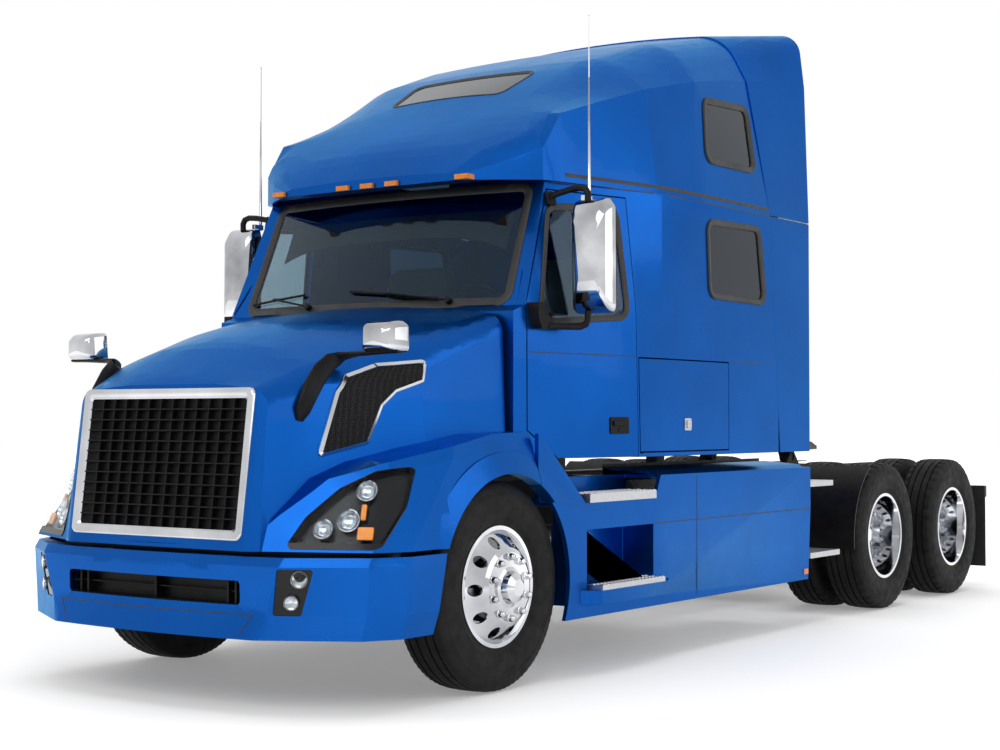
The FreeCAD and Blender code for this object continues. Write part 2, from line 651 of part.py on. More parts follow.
def cab_panels():
    """Hollow cab split at its real seams: front, sides, floor, back, doors and windows."""
    wall = size("cab_wall")
    back = size("cab_back")
    outer = cab_block(0, back)
    inner = cab_block(wall, back - wall, 5, 5)
    ring = outer.cut(inner)
    glass_face = cab_block(6, back, 1, 1)
    glass_back = cab_block(size("glass_thickness") + 6, back, 5, 5)
    behind = prism(fairing_line(), "X", -2000, 2000)

    belt = size("belt_height")
    front = size("door_front")
    rake = size("door_rake")
    corner = size("door_corner")
    toe = front + size("door_corner_run")
    seam = [(0, 1000), (toe, 1000), (toe, size("cab_floor")), (front, corner), (front, belt), (front + rake, size("door_top")),
            (front + rake, 2700), (0, 2700)]
    windscreen = prism(windscreen_outline(0), "Y", 200, 800, 60)
    post = [(1300, 1000), (980, 1000), (980, belt), (915, size("roof_seam")), (915, 2700), (1300, 2700)]
    flank = prism(post, "Y", 0, 4000).cut(prism(seam, "X", -1300, 1300))
    cowl = ring.common(box(-1300, 1300, 0, 1200, 1000, 2700)).cut(flank).cut(mirrored(flank))
    piece("cab_cowl", cowl.cut(windscreen))

    rest = ring.common(flank)
    lower = prism(LOWER_WINDOW, "X", 1000, 1300, 60)
    for side, direction in (("left", 1), ("right", -1)):
        door_space = prism(door_outline(0), "X", 0, 1300)
        hatch_space = prism(luggage_outline(0), "X", 0, 1300)
        panel = rest.common(box(0, 1300, 0, back - wall, 1000, 2700))
        panel = panel.cut(door_space).cut(hatch_space).cut(lower).cut(behind)
        door = rest.common(prism(door_outline(size("panel_gap")), "X", 0, 1300))
        window = prism(DOOR_WINDOW, "X", 900, 1300, 70)
        pane = glass_face.common(window).common(flank).cut(glass_back)
        hatch = rest.common(prism(luggage_outline(size("panel_gap")), "X", 0, 1300))
        for name, shape in (("door_", door.cut(window)), ("door_glass_", pane),
                            ("luggage_door_", hatch)):
            piece(name + side, shape if direction > 0 else mirrored(shape))
        if direction > 0:
            piece("cab_side_panels", both_sides(panel))
            sleeper_panes = glass_face.common(lower).cut(glass_back)
    piece("windscreen", glass_face.common(windscreen).cut(glass_back))

    floor = inner.common(box(-1300, 1300, 0, back, size("cab_floor"),
                             size("cab_floor + floor_thickness")))
    clear = prism(door_outline(-size("panel_gap")), "X", 0, 1300).fuse(
        prism(luggage_outline(-size("panel_gap")), "X", 0, 1300))
    clear = clear.cut(cab_block(wall + 8, back, 5, 5))
    floor = floor.cut(clear).cut(mirrored(clear))
    out = size("rail_half_width")
    posts = [box(side * (out - size("bracket_width")), side * out, station, station + 100,
                 size("rail_top"), size("cab_floor") + 10)
             for side in (-1, 1) for station in (420, 1500, 2800)]
    piece("cab_floor", fused([floor] + posts))
    edge = size("body_half_width - fairing_wall")
    piece("cab_back_wall", box(-edge, edge, back - wall, back, size("cab_floor"), size("roof_seam")))
    return inner, sleeper_panes


# ---------------------------------------------------------------- roof

# station, half width at the seam, crease half width and height, shoulder half width and height,
# crown height, shoulder radius
ROOF_SECTIONS = [(390, 620, 620, 2625, 560, 2640, 2655, 8), (510, 800, 806, 2690, 740, 2768, 2812, 40),
                 (650, 985, 985, 2770, 930, 2862, 2912, 50), (800, 1035, 1000, 2975, 860, 2985, 3010, 60),
                 (1090, 1100, 1040, 3070, 760, 3150, 3207, 150), (1500, 1190, 1105, 3200, 860, 3400, 3430, 180),
                 (2000, 1220, 1150, 3320, 980, 3570, 3605, 200), (2750, 1220, 1098, 3445, 957, 3742, 3800, 150),
                 (3000, 1220, 1105, 3460, 965, 3765, 3815, 150)]
FAIRING_SECTIONS = [(2650, 1220, 1091, 3438, 938, 3735, 3791, 155),
                    (3403, 1220, 1192, 3500, 1150, 3850, 3905, 120)]


def roof_wire(row, inset, base):
    """Cross section: side up to the crease, slope up to a rounded shoulder, crowned top."""
    station, foot, crease, crease_z, shoulder, shoulder_z, crown, radius = row
    y = at(station)
    low = Vector(foot - inset, y, base)
    knee = Vector(crease - inset, y, crease_z - 0.5 * inset)
    corner = Vector(shoulder - 0.6 * inset, y, shoulder_z - inset)
    radius = radius - 0.5 * inset if radius > 2 * inset else radius * 0.5
    start = corner + (knee - corner).normalize() * radius
    wide = corner.x - radius
    end = Vector(wide, y, crown - inset - (crown - shoulder_z) * (wide / corner.x) ** 2)
    chord = (start + end) / 2
    bulge = chord + (corner - chord) * 0.42
    right = [low, knee, start, bulge, end]
    left = [Vector(-point.x, y, point.z) for point in right]
    edges = [Part.LineSegment(low, knee).toShape(), Part.LineSegment(knee, start).toShape(),
             Part.Arc(start, bulge, end).toShape(),
             Part.Arc(end, Vector(0, y, crown - inset), left[4]).toShape(),
             Part.Arc(left[4], left[3], left[2]).toShape(), Part.LineSegment(left[2], left[1]).toShape(),
             Part.LineSegment(left[1], left[0]).toShape(), Part.LineSegment(left[0], low).toShape()]
    return Part.Wire(edges)


def roof_block(inset, rows, base):
    wires = [roof_wire(row, inset, base) for row in rows]
    parts = [ruled(pair) for pair in zip(wires, wires[1:])]
    if len(parts) == 1:
        return parts[0]
    return parts[0].multiFuse(parts[1:])


def roof(sleeper_panes):
    """High roof with its brow over the windscreen, and the fairings behind the sleeper."""
    seam = size("roof_seam")
    back = size("cab_back")
    wall = size("roof_wall")
    thin = size("fairing_wall")
    outer = roof_block(0, ROOF_SECTIONS, seam)
    inner = roof_block(wall, ROOF_SECTIONS[1:], seam - 20)
    behind = prism(fairing_line(), "X", -2000, 2000)
    under_fairing = roof_block(thin, FAIRING_SECTIONS, seam - 21)
    bulkhead = outer.common(box(-1300, 1300, back - wall, back, seam, 4000))
    skylight = prism(SKYLIGHT, "Z", 2700, 3600, 50)
    port = prism(UPPER_WINDOW, "X", 1000, 1300, 60)
    openings = skylight.fuse(port).fuse(mirrored(port))
    shell = outer.cut(inner).fuse(bulkhead).cut(behind.cut(under_fairing)).cut(openings)
    piece("roof_cap", max(shell.Solids, key=lambda solid: solid.Volume))

    face = roof_block(6, ROOF_SECTIONS, seam)
    under = roof_block(size("glass_thickness") + 6, ROOF_SECTIONS, seam - 20)
    piece("skylight", face.common(skylight).cut(under))
    upper_pane = face.common(port).cut(under)
    panes = [sleeper_panes, mirrored(sleeper_panes), upper_pane, mirrored(upper_pane)]
    piece("sleeper_windows", Part.makeCompound(panes))

    rear = size("fairing_back")
    cap = roof_block(0, FAIRING_SECTIONS, seam + 6).cut(under_fairing).common(behind)
    body = cab_block(0, rear).cut(cab_block(thin, rear, 5, 5)).common(behind)
    body = body.common(box(-1300, 1300, 2500, rear, 1000, seam))
    piece("rear_fairings", Part.makeCompound([max(cap.Solids, key=lambda solid: solid.Volume)] + body.Solids))
    return outer


# ---------------------------------------------------------------- hood

# station, half width at the foot, shoulder half width and height, crown height, shoulder radius
HOOD_SECTIONS = [(-1250, 640, 600, 1400, 1430, 70), (-1080, 660, 625, 1468, 1512, 80),
                 (-800, 780, 745, 1560, 1710, 110), (-500, 870, 835, 1630, 1815, 120),
                 (-280, 935, 905, 1695, 1862, 120), (290, 1010, 975, 1868, 1938, 90)]


def hood_wire(row, inset, base):
    """Cross section: upright sides, rounded shoulders and a crowned top."""
    station, foot, shoulder, shoulder_z, crown, radius = row
    y = at(station)
    wide = shoulder - inset
    high = shoulder_z - inset
    peak = crown - inset
    radius = radius - inset
    share = radius / (high - base)
    start = Vector(wide + (foot - inset - wide) * share, y, high - radius)
    end = Vector(wide - radius, y, peak - (peak - high) * ((wide - radius) / wide) ** 2)
    chord = (start + end) / 2
    bulge = chord + (Vector(wide, y, high) - chord) * 0.42
    half = [Vector(foot - inset, y, base), start, bulge, end]
    other = [Vector(-point.x, y, point.z) for point in half]
    edges = [Part.LineSegment(half[0], start).toShape(), Part.Arc(start, bulge, end).toShape(),
             Part.Arc(end, Vector(0, y, peak), other[3]).toShape(),
             Part.Arc(other[3], other[2], other[1]).toShape(),
             Part.LineSegment(other[1], other[0]).toShape(), Part.LineSegment(other[0], half[0]).toShape()]
    return Part.Wire(edges)


def nose_wire(height, front, inset):
    """Plan of the nose: flat where the grille sits, then round to the sides."""
    face = front + inset
    turn = [(575, face), (575 + 72, face + 38), (700 - inset, face + 185), (1200, 420)]
    right = [Vector(x, at(y), height) for x, y in turn]
    left = [Vector(-point.x, point.y, height) for point in right]
    edges = [Part.LineSegment(left[0], right[0]).toShape(),
             Part.Arc(right[0], right[1], right[2]).toShape(),
             Part.LineSegment(right[2], right[3]).toShape(), Part.LineSegment(right[3], left[3]).toShape(),
             Part.LineSegment(left[3], left[2]).toShape(), Part.Arc(left[2], left[1], left[0]).toShape()]
    return Part.Wire(edges)


def hood_middle(inset, more):
    """Tapered middle of the hood, its nose leaning back with the grille."""
    base = size("hood_bottom") - more
    rows = HOOD_SECTIONS[:-1] + [(size("hood_rear") + more,) + HOOD_SECTIONS[-1][1:]]
    wires = [hood_wire(row, inset, base) for row in rows]
    parts = [ruled(pair) for pair in zip(wires, wires[1:])]
    # height, front of the nose
    nose = ruled([nose_wire(height, front, inset)
                  for height, front in ((690, -1200), (1500, -1086), (2100, -1001))])
    brow = prism([(-1300, 700), (-1300, 1500 - inset), (-1076 + inset, 1500 - inset),
                  (-1020 + inset, 1560 - inset), (-900, 2100), (400, 2100), (400, 700)], "X", -1300, 1300)
    return parts[0].multiFuse(parts[1:]).common(nose).common(brow)


def fender_wire(height, row, inset):
    front, cheek, lamp, corner, flank, rear = row
    points = [(cheek[0], cheek[1] + inset), (lamp[0] - 0.3 * inset, lamp[1] + inset),
              (corner[0] - 0.8 * inset, corner[1] + 0.6 * inset), (flank[0] - inset, flank[1]),
              (rear[0] - inset, rear[1])]
    corners = [Vector(x, at(y), height) for x, y in points]
    corners += [Vector(-x, at(y), height) for x, y in reversed(points)]
    nose = Part.Arc(corners[-1], Vector(0, at(front + inset), height), corners[0]).toShape()
    edges = [Part.LineSegment(a, b).toShape() for a, b in zip(corners, corners[1:])]
    return Part.Wire(edges + [nose])


def fender_block(inset, more):
    """Both fenders with the nose between them, from the bumper's top to the fender's crest."""
    rear = size("fender_rear") + more
    half = size("body_half_width")
    # front, cheek beside the grille, lamp's inner edge, corner, flank, rear
    low = [-1200, (600, -1165), (740, -1100), (1130, -930), (half, -760), (half, rear)]
    high = [-1115, (600, -1040), (740, -930), (1050, -700), (half - 25, -420), (half - 18, rear)]
    bottom = size("hood_bottom")
    # height and plan of the fenders, drawn in above the lamps
    top = [-1115, (600, -1040), (740, -900), (1000, -620), (half - 75, -340), (half - 68, rear)]
    wires = [fender_wire(height, row, inset)
             for height, row in ((bottom - more, low), (1150, high), (1300, top))]
    block = ruled(wires[:2]).fuse(ruled(wires[1:]))
    crest = [(-1300, 700), (-1180, 760), (-1060, 900), (-900, 1060), (-720, 1135), (-400, 1205),
             (-60, 1262), (rear, 1272), (rear, 700)]
    crest = [(a, b - (inset if b > 700 else 0)) for a, b in crest]
    crest[0] = (-1300, 700)
    return block.common(prism(crest, "X", -1300, 1300))


HEADLAMP = [(745, 748), (1145, 748), (1150, 930), (1118, 1118), (1010, 1095), (900, 1020), (800, 890)]
VENT = [(-850, 1165), (-600, 1225), (-520, 1400), (-440, 1470), (-290, 1520), (-270, 1615),
        (-520, 1590), (-690, 1535), (-750, 1460)]


def grille_frame(depth, inset, border):
    half = size("grille_half_width") - inset
    low = size("grille_bottom") + inset
    high = size("grille_top") - inset
    outer = Part.Face(rounded([Vector(-half, 0, low), Vector(half, 0, low), Vector(half, 0, high),
                               Vector(-half, 0, high)], 36))
    solid = outer.extrude(Vector(0, depth, 0))
    if border:
        solid = solid.cut(grille_frame(depth + 2, border + inset, 0).translated(Vector(0, -1, 0)))
    return solid


def lean(shape):
    """Lean an upright front panel back with the nose and set it on the nose's face."""
    low = size("grille_bottom")
    high = size("grille_top")
    tilt = math.degrees(math.atan2(89, high - low))
    shape = shape.copy()
    shape.rotate(Vector(0, 0, low), Vector(1, 0, 0), -tilt)
    shape.translate(Vector(0, at(-1196), 0))
    return shape


def grille():
    """Bright surround with a grid of upright and level bars set back inside it."""
    border = size("grille_border")
    bar = size("grille_bar")
    half = size("grille_half_width") - border
    low = size("grille_bottom") + border
    high = size("grille_top") - border
    parts = [grille_frame(size("grille_depth") + 12, 0, border)]
    columns = int(size("grille_columns"))
    rows = int(size("grille_rows"))
    for index in range(1, columns):
        x = -half + 2 * half * index / columns
        parts.append(Part.makeBox(bar, 24, high - low + 10, Vector(x - bar / 2, 10, low - 5)))
    for index in range(1, rows):
        z = low + (high - low) * index / rows
        parts.append(Part.makeBox(2 * half + 10, 20, bar, Vector(-half - 5, 14, z - bar / 2)))
    piece("grille", lean(fused(parts)))


def arch_lip():
    """Flared band round the left wheel arch, a full ring to be cut at the fender's seams."""
    middle = size("axle_height") + 5
    skin = size("body_half_width")
    inner = size("arch_radius")
    outer = size("lip_radius")
    edge = skin + size("lip_reach")
    outline = [(skin - size("lip_depth"), inner), (edge, inner), (edge, inner + 14), (skin - 14, outer),
               (skin - size("lip_depth"), outer)]
    corners = [Vector(x, at(0), middle + r) for x, r in outline]
    face = Part.Face(Part.makePolygon(corners + corners[:1]))
    return face.revolve(Vector(0, at(0), middle), Vector(1, 0, 0), 360)


def hood():
    """Tilting hood in one with both fenders, open below and behind."""
    wall = size("hood_wall")
    solid = hood_middle(0, 0).fuse(fender_block(0, 0))
    hollow = hood_middle(wall, 30).fuse(fender_block(wall, 30))
    shell = solid.cut(hollow)
    arch = cylinder(size("arch_radius"), 3000, Vector(-1500, at(0), size("axle_height") + 5),
                    Vector(1, 0, 0))
    reach = size("sweep_half_width")
    sweep = cylinder(size("sweep_radius"), 2 * reach, Vector(-reach, at(0), size("axle_height") + 5),
                     Vector(1, 0, 0))
    shell = shell.cut(arch).cut(sweep)
    lip = arch_lip().common(box(0, 1300, -800, size("fender_rear"), size("hood_bottom"), 1300))
    shell = shell.multiFuse([lip, mirrored(lip)])
    opening = lean(grille_frame(120, 0, 0).translated(Vector(0, -25, 0)))
    lamp = prism(HEADLAMP, "Y", -1400, -600, 25)
    vent = prism(VENT, "X", 600, 1100)
    shell = shell.cut(opening)
    for cutter in (lamp, vent):
        shell = shell.cut(cutter).cut(mirrored(cutter))
    piece("hood_shell", max(shell.Solids, key=lambda solid: solid.Volume))

    housing = fender_block(-3, 0).cut(fender_block(55, 10)).common(prism(HEADLAMP, "Y", -1400, -600, 25))
    piece("headlamps", both_sides(max(housing.Solids, key=lambda solid: solid.Volume)))

    screen = hood_middle(-5, 0).cut(hood_middle(wall, 10)).common(vent)
    screen = max(screen.common(box(600, 1100, -900, -200, 1100, 1700)).Solids,
                 key=lambda solid: solid.Volume)
    piece("hood_vents", both_sides(screen))

    arm = prism([(-960, 1330), (-900, 1360), (-700, 1650), (-640, 1670), (-640, 1640), (-840, 1560)],
                "X", 700, 740)
    root = prism([(640, 1320), (740, 1320), (760, 1420), (640, 1420)], "Y", -960, -900)
    reach = prism([(690, 1600), (760, 1655), (1120, 1655), (1120, 1635), (780, 1620), (720, 1580)],
                  "Y", -740, -680)
    cap = prism([(900, 1640), (1125, 1640), (1120, 1765), (1085, 1790), (915, 1790)], "Y", -790, -660)
    mirror = fused([arm, reach, cap, root]).cut(solid)
    piece("hood_mirrors", both_sides(max(mirror.Solids, key=lambda solid: solid.Volume)))


# ---------------------------------------------------------------- bumper

def bumper_wire(height, row, inset, more):
    front, seam, corner, side, rear = row
    points = [(seam[0] - 0.2 * inset, seam[1] + inset), (corner[0] - 0.8 * inset, corner[1] + 0.7 * inset),
              (side[0] - inset, side[1]), (side[0] - inset, rear + more)]
    corners = [Vector(x, at(y), height) for x, y in points]
    corners += [Vector(-x, at(y), height) for x, y in reversed(points)]
    nose = Part.Arc(corners[-1], Vector(0, at(front + inset), height), corners[0]).toShape()
    edges = [Part.LineSegment(a, b).toShape() for a, b in zip(corners, corners[1:])]
    return Part.Wire(edges + [nose])


def bumper_block(inset, more):
    half = size("body_half_width")
    # height, centre front, seam, corner, side, rear end
    rows = [(size("bumper_bottom") - more, [-1250, (662, -1207), (1090, -960), (half - 35, -800), -560]),
            (449, [-1225, (711, -1175), (1110, -950), (half - 10, -780), -545]),
            (671, [-1225, (782, -1179), (1130, -950), (half, -770), -505]),
            (size("bumper_top") - inset, [-1205, (792, -1149), (1120, -930), (half - 4, -770), -493])]
    wires = [bumper_wire(height, row, inset, more) for height, row in rows]
    parts = [ruled(pair) for pair in zip(wires, wires[1:])]
    return parts[0].multiFuse(parts[1:])


LAMP_POD = [(738, 452), (852, 452), (919, 662), (779, 662)]


def bumper():
    """Deep wrap-round bumper, open behind and below, with its air slot and lamp pods."""
    wall = size("bumper_wall")
    shell = bumper_block(0, 0).cut(bumper_block(wall, 20))
    half = [(1195, -400), (1195, -790), (1080, -900), (700, -1100)]
    plan = half + [(-x, station) for x, station in reversed(half)]
    shell = shell.cut(prism(plan, "Z", size("bumper_top") - 2 * wall, size("hood_bottom")))
    half = size("intake_half_width")
    slot = prism([(-half, size("intake_bottom")), (half, size("intake_bottom")),
                  (half, size("intake_top")), (-half, size("intake_top"))], "Y", -1300, -1000, 20)
    pod = prism(LAMP_POD, "Y", -1300, -900, 12)
    shell = shell.cut(slot).cut(pod).cut(mirrored(pod))
    shell = max(shell.Solids, key=lambda solid: solid.Volume)
    out = size("rail_half_width")
    rail_low = size("rail_top - rail_height")
    nose = size("rail_front")
    for side in (-1, 1):
        arm = box(side * (out - size("bracket_width")), side * out, -1206, nose + 100, 612, 672)
        foot = box(side * (out - size("bracket_width")), side * out, nose, nose + 100, 660, rail_low)
        shell = shell.multiFuse([arm, foot])
    piece("front_bumper", shell)
    lamps = bumper_block(4, 0).cut(bumper_block(50, 20)).common(pod)
    piece("fog_lamps", both_sides(max(lamps.Solids, key=lambda solid: solid.Volume)))


# ---------------------------------------------------------------- skirts, steps, fenders

def skirts():
    """Side fairings below the cab: arch leg, raked entry edge, step recess, step pan and rear panel."""
    half = size("body_half_width")
    inside = half - size("skirt_wall")
    bottom = size("skirt_bottom")
    top = size("skirt_top")
    rear = size("skirt_rear")
    sill = size("upper_step_z - step_thickness")
    front = size("fender_rear + panel_gap")
    floor = size("lower_step_z - tread_plate")
    recess_front = size("recess_front")
    recess_rear = size("recess_rear")
    recess_top = size("recess_top")
    outline = [(front, 1262), (front + 30, 1250), (700, sill), (1420, sill), (1480, top),
               (rear, top), (rear, 760), (rear - 40, bottom), (500, bottom), (front, 700)]
    panel = prism(outline, "X", inside, half)
    lip = arch_lip().common(box(0, 1300, front, 620, 900, 1300))
    lip = lip.common(prism([(front, 1262), (front + 30, 1250), (640, 940), (front, 900)], "X", 0, 1300))
    arch = cylinder(size("arch_radius"), 3000, Vector(0, at(0), size("axle_height") + 5), Vector(1, 0, 0))
    panel = panel.fuse(lip).cut(arch)
    panel = panel.cut(box(inside - 1, half + 1, recess_front, recess_rear, floor, recess_top))
    depth = half - 220
    well = box(depth, half - 10, recess_front - 10, recess_rear + 10, floor - 20, recess_top + 14).cut(
        box(depth + 20, half + 1, recess_front, recess_rear, floor, recess_top))
    reach = half + size("pan_reach")
    pan = prism([(inside, 652), (half, 652), (reach, 745), (reach, 1425), (half, 1572), (inside, 1572)],
                "Z", floor - 75, floor)
    under = prism([(half, floor - 75), (reach, floor - 75), (reach + 1, floor - 60), (reach + 1, floor - 90),
                   (half, floor - 90)], "Y", 600, 1600)
    tray = box(half - 240, inside, 620, 1500, sill - 20, sill)
    wall = box(half - 260, half - 240, 620, 1500, sill - 20, top)
    ledge = prism([(1480, top), (rear, top), (rear, top - 20), (1480, top - 20)], "X", half - 260, inside)
    inner_leg = box(half - 160, inside, 625, 650, bottom + 60, sill)
    brackets = [box(size("rail_half_width"), half - 240, station, station + 40, sill - 20, sill + 20)
                for station in (660, 1440)]
    body = fused([panel, well, pan.cut(under), tray, wall, ledge, inner_leg] + brackets)
    tread = step_plates()
    piece("side_skirts", both_sides(body.cut(Part.makeCompound(tread))))


def step_plates():
    """Tread plates of the upper and the lower entry step of one side."""
    half = size("body_half_width")
    thick = size("step_thickness")
    high = size("upper_step_z")
    low = size("lower_step_z")
    upper = box(half - 220, half + 12, 722, 1408, high - thick, high)
    lower = box(half - 190, half + size("pan_reach") + 8, 735, 1385, low - size("tread_plate"), low)
    return [upper, lower]


def steps():
    """Entry steps in the skirts and the two steps behind each skirt."""
    half = size("body_half_width")
    plates = step_plates()
    rear = [box(half - 320, half - 10, 3425, 3780, 895, 930), box(half - 320, half - 10, 3425, 3880, 430, 465),
            box(half - 340, half - 320, 3425, 3780, 430, 930),
            box(size("rail_half_width"), half - 340, 3660, 3720, 800, 860)]
    piece("steps", both_sides(Part.makeCompound(plates + [fused(rear)])))


def fenders_and_flaps():
    """Quarter fenders ahead of the forward duals and mud flaps behind the rearward duals."""
    mid = size("axle_height")
    hub = size("wheelbase") - size("tandem_spacing") / 2
    inner = 640
    outer = size("body_half_width") + 20
    arc = cylinder(575, outer - inner, Vector(inner, at(hub), mid), Vector(1, 0, 0)).cut(
        cylinder(563, outer - inner, Vector(inner, at(hub), mid), Vector(1, 0, 0)))
    guard = arc.common(box(inner, outer, hub - 640, hub - 290, mid - 60, mid + 640))
    post = box(size("rail_half_width"), inner + 40, hub - 400, hub - 340, 925, 960)
    guard = fused([guard, post.cut(cylinder(563, 2000, Vector(0, at(hub), mid), Vector(1, 0, 0)))])
    piece("quarter_fenders", both_sides(guard))

    station = size("rail_rear") - 60
    bar = box(size("rail_half_width"), outer, station, station + 40, 715, 805)
    flap = box(inner, outer, station, station + 12, 165, 720)
    piece("mudflaps", both_sides(fused([bar, flap])))


# ---------------------------------------------------------------- cab interior and mirrors

def interior(inner):
    """Dashboard with the steering wheel at the left, two seats and the bunk."""
    floor_top = size("cab_floor + floor_thickness")
    profile = [(300, 1400), (620, 1400), (760, 1620), (780, 1800), (640, 1880), (300, 1880)]
    dash = inner.common(prism(profile, "X", -960, 960))
    dash = dash.cut(prism(door_outline(-10), "X", -1300, 1300).cut(cab_block(70, 3000, 5, 5)))
    piece("dashboard", dash)
    column = cylinder(28, 230, Vector(450, at(700), 1760), Vector(0, 0.75, 0.5))
    wheel = Part.makeTorus(215, 16, Vector(0, 0, 0), Vector(0, 0, 1))
    wheel = wheel.fuse(Part.makeCylinder(45, 30, Vector(0, 0, -15)))
    for angle in (0, 120, 240):
        spoke = Part.makeBox(200, 30, 16, Vector(20, -15, -8))
        spoke.rotate(Vector(0, 0, 0), Vector(0, 0, 1), angle + 90)
        wheel = wheel.fuse(spoke)
    wheel.rotate(Vector(0, 0, 0), Vector(1, 0, 0), -56)
    wheel.translate(Vector(450, at(890), 1890))
    piece("steering_wheel", fused([wheel, column.cut(dash)]))
    seat = []
    for side in (-1, 1):
        x = side * 520
        seat += [fused([box(x - 190, x + 190, 1010, 1400, floor_top, floor_top + 250),
                        box(x - 250, x + 250, 960, 1460, floor_top + 250, floor_top + 400),
                        prism([(1380, floor_top + 400), (1500, floor_top + 400),
                               (1620, floor_top + 1080), (1510, floor_top + 1080)], "X",
                              x - 240, x + 240)])]
    piece("seats", Part.makeCompound(seat))
    back = size("cab_back - cab_wall")
    piece("bunk", box(-1160, 1160, back - 750, back, floor_top + 330, floor_top + 480).fuse(
        box(-1160, 1160, back - 750, back - 720, floor_top, floor_top + 330)))


def door_mirrors():
    """Tall mirror heads on tube arms at the doors, each with a whip antenna."""
    head = prism([(1140, 1885), (1370, 1890), (1378, 1930), (1375, 2440), (1340, 2488), (1150, 2488),
                  (1135, 2440)], "Y", 640, 760)
    tube = 17
    # x, station, height along each arm
    high = [(985, 690, 2500), (1034, 700, 2525), (1122, 700, 2542), (1185, 700, 2548), (1234, 700, 2520),
            (1234, 700, 2470)]
    low = [(1060, 490, 1822), (1110, 520, 1815), (1190, 690, 1818), (1233, 700, 1850), (1233, 700, 1900)]
    upper, lower = [[Vector(x, at(station), z) for x, station, z in arm] for arm in (high, low)]
    bracket = prism([(418, 1935), (470, 1940), (520, 1870), (560, 1850), (560, 1800), (450, 1800), (418, 1860)],
                    "X", 1030, 1120)
    whip = cylinder(6, 960, Vector(1181, at(795), 2520), Vector(0, 0, 1))
    foot = box(1170, 1226, 690, 810, 2480, 2524)
    shape = fused([head, foot, whip, bracket, pipe(upper, tube), pipe(lower, tube)])
    shape = shape.cut(cab_block(0, size("cab_back")))
    shape = max(shape.Solids, key=lambda solid: solid.Volume)
    piece("door_mirror_left", shape)
    piece("door_mirror_right", mirrored(shape))


def pipe(points, radius):
    """Straight round bars end to end with a ball at each bend."""
    parts = []
    for start, end in zip(points, points[1:]):
        parts.append(cylinder(radius, (end - start).Length, start, end - start))
    for point in points[1:-1]:
        parts.append(Part.makeSphere(radius + 1.5, point))
    return parts[0].multiFuse(parts[1:])


def lamps(brow):
    """Marker lamps below the brow and the lamp row on each mud flap bar."""
    markers = []
    for x in (-649, -173, 0, 173, 649):
        lamp = Part.makeBox(84, 68, 26, Vector(x - 42, at(372), 2601)).cut(brow)
        markers.append(max(lamp.Solids, key=lambda solid: solid.Volume))
    piece("marker_lamps", Part.makeCompound(markers))
    rear = size("rail_rear") - 20
    tail = [cylinder(52, 20, Vector(x, at(rear), 760), Vector(0, 1, 0)) for x in (700, 840, 980)]
    piece("tail_lamps", both_sides(Part.makeCompound(tail)))


# ---------------------------------------------------------------- assembly

def check_and_export():
    """Stop on any failed object, then write one file for each sub-part."""
    doc.recompute()
    for entry in doc.Objects:
        if "Invalid" in entry.State or "Error" in entry.State:
            raise ValueError(entry.Label + ": " + str(entry.State))
    os.makedirs("parts", exist_ok=True)
    for entry in PIECES:
        shape = entry.Shape
        if shape.isNull() or not shape.isValid():
            raise ValueError(entry.Label + ": bad shape")
        shape.exportStep(os.path.join("parts", entry.Label + ".step"))


def main():
    tyres_and_wheels()
    frame_rails()
    crossmembers()
    front_axle()
    knuckles()
    drive_axles()
    suspension()
    power_train()
    fuel_tanks()
    fifth_wheel()
    inner, sleeper_panes = cab_panels()
    brow = roof(sleeper_panes)
    lamps(brow)
    hood()
    grille()
    bumper()
    skirts()
    steps()
    fenders_and_flaps()
    interior(inner)
    door_mirrors()
    check_and_export()


main()
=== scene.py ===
import json
import math

import bmesh
import bpy
import numpy as np
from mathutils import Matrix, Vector
from mathutils.bvhtree import BVHTree


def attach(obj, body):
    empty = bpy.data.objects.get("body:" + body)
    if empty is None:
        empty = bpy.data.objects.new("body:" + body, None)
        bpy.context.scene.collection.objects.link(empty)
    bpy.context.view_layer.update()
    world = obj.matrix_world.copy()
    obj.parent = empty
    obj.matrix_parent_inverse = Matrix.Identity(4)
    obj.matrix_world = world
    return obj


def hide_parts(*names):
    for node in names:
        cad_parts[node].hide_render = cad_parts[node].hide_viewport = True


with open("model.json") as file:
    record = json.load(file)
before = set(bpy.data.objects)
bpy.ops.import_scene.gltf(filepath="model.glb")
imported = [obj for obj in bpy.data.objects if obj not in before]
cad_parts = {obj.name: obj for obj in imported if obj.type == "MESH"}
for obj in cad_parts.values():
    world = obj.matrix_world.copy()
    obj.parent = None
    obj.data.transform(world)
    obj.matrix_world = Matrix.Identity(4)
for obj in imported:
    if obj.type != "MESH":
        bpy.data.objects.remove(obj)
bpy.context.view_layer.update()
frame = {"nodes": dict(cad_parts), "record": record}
NODES = frame["nodes"]
FRONT_AXLE_Y = -2.7
HUB_Z = 0.515
SIDES = (("left", 1), ("right", -1))


def at(station):
    """Y of a station behind the front axle, in metres."""
    return FRONT_AXLE_Y + station


# -------- materials

def new_material(name):
    material = bpy.data.materials.new(name)
    material.use_nodes = True
    tree = material.node_tree
    return material, tree, tree.nodes["Principled BSDF"]


def add_node(tree, kind, values=None, links=None):
    """New shader node with some inputs set and others linked."""
    node = tree.nodes.new("ShaderNode" + kind)
    set_inputs(node, values or {})
    for socket, source in (links or {}).items():
        tree.links.new(source, node.inputs[socket])
    return node


def set_inputs(node, values):
    for socket, value in values.items():
        node.inputs[socket].default_value = value


def object_coords(tree):
    return add_node(tree, "TexCoord").outputs["Object"]


def noise(tree, scale, detail=3.0, stretch=None):
    source = object_coords(tree)
    if stretch:
        source = add_node(tree, "Mapping", {"Scale": stretch}, {"Vector": source}).outputs["Vector"]
    values = {"Scale": scale, "Detail": detail, "Roughness": 0.5}
    return add_node(tree, "TexNoise", values, {"Vector": source}).outputs["Fac"]


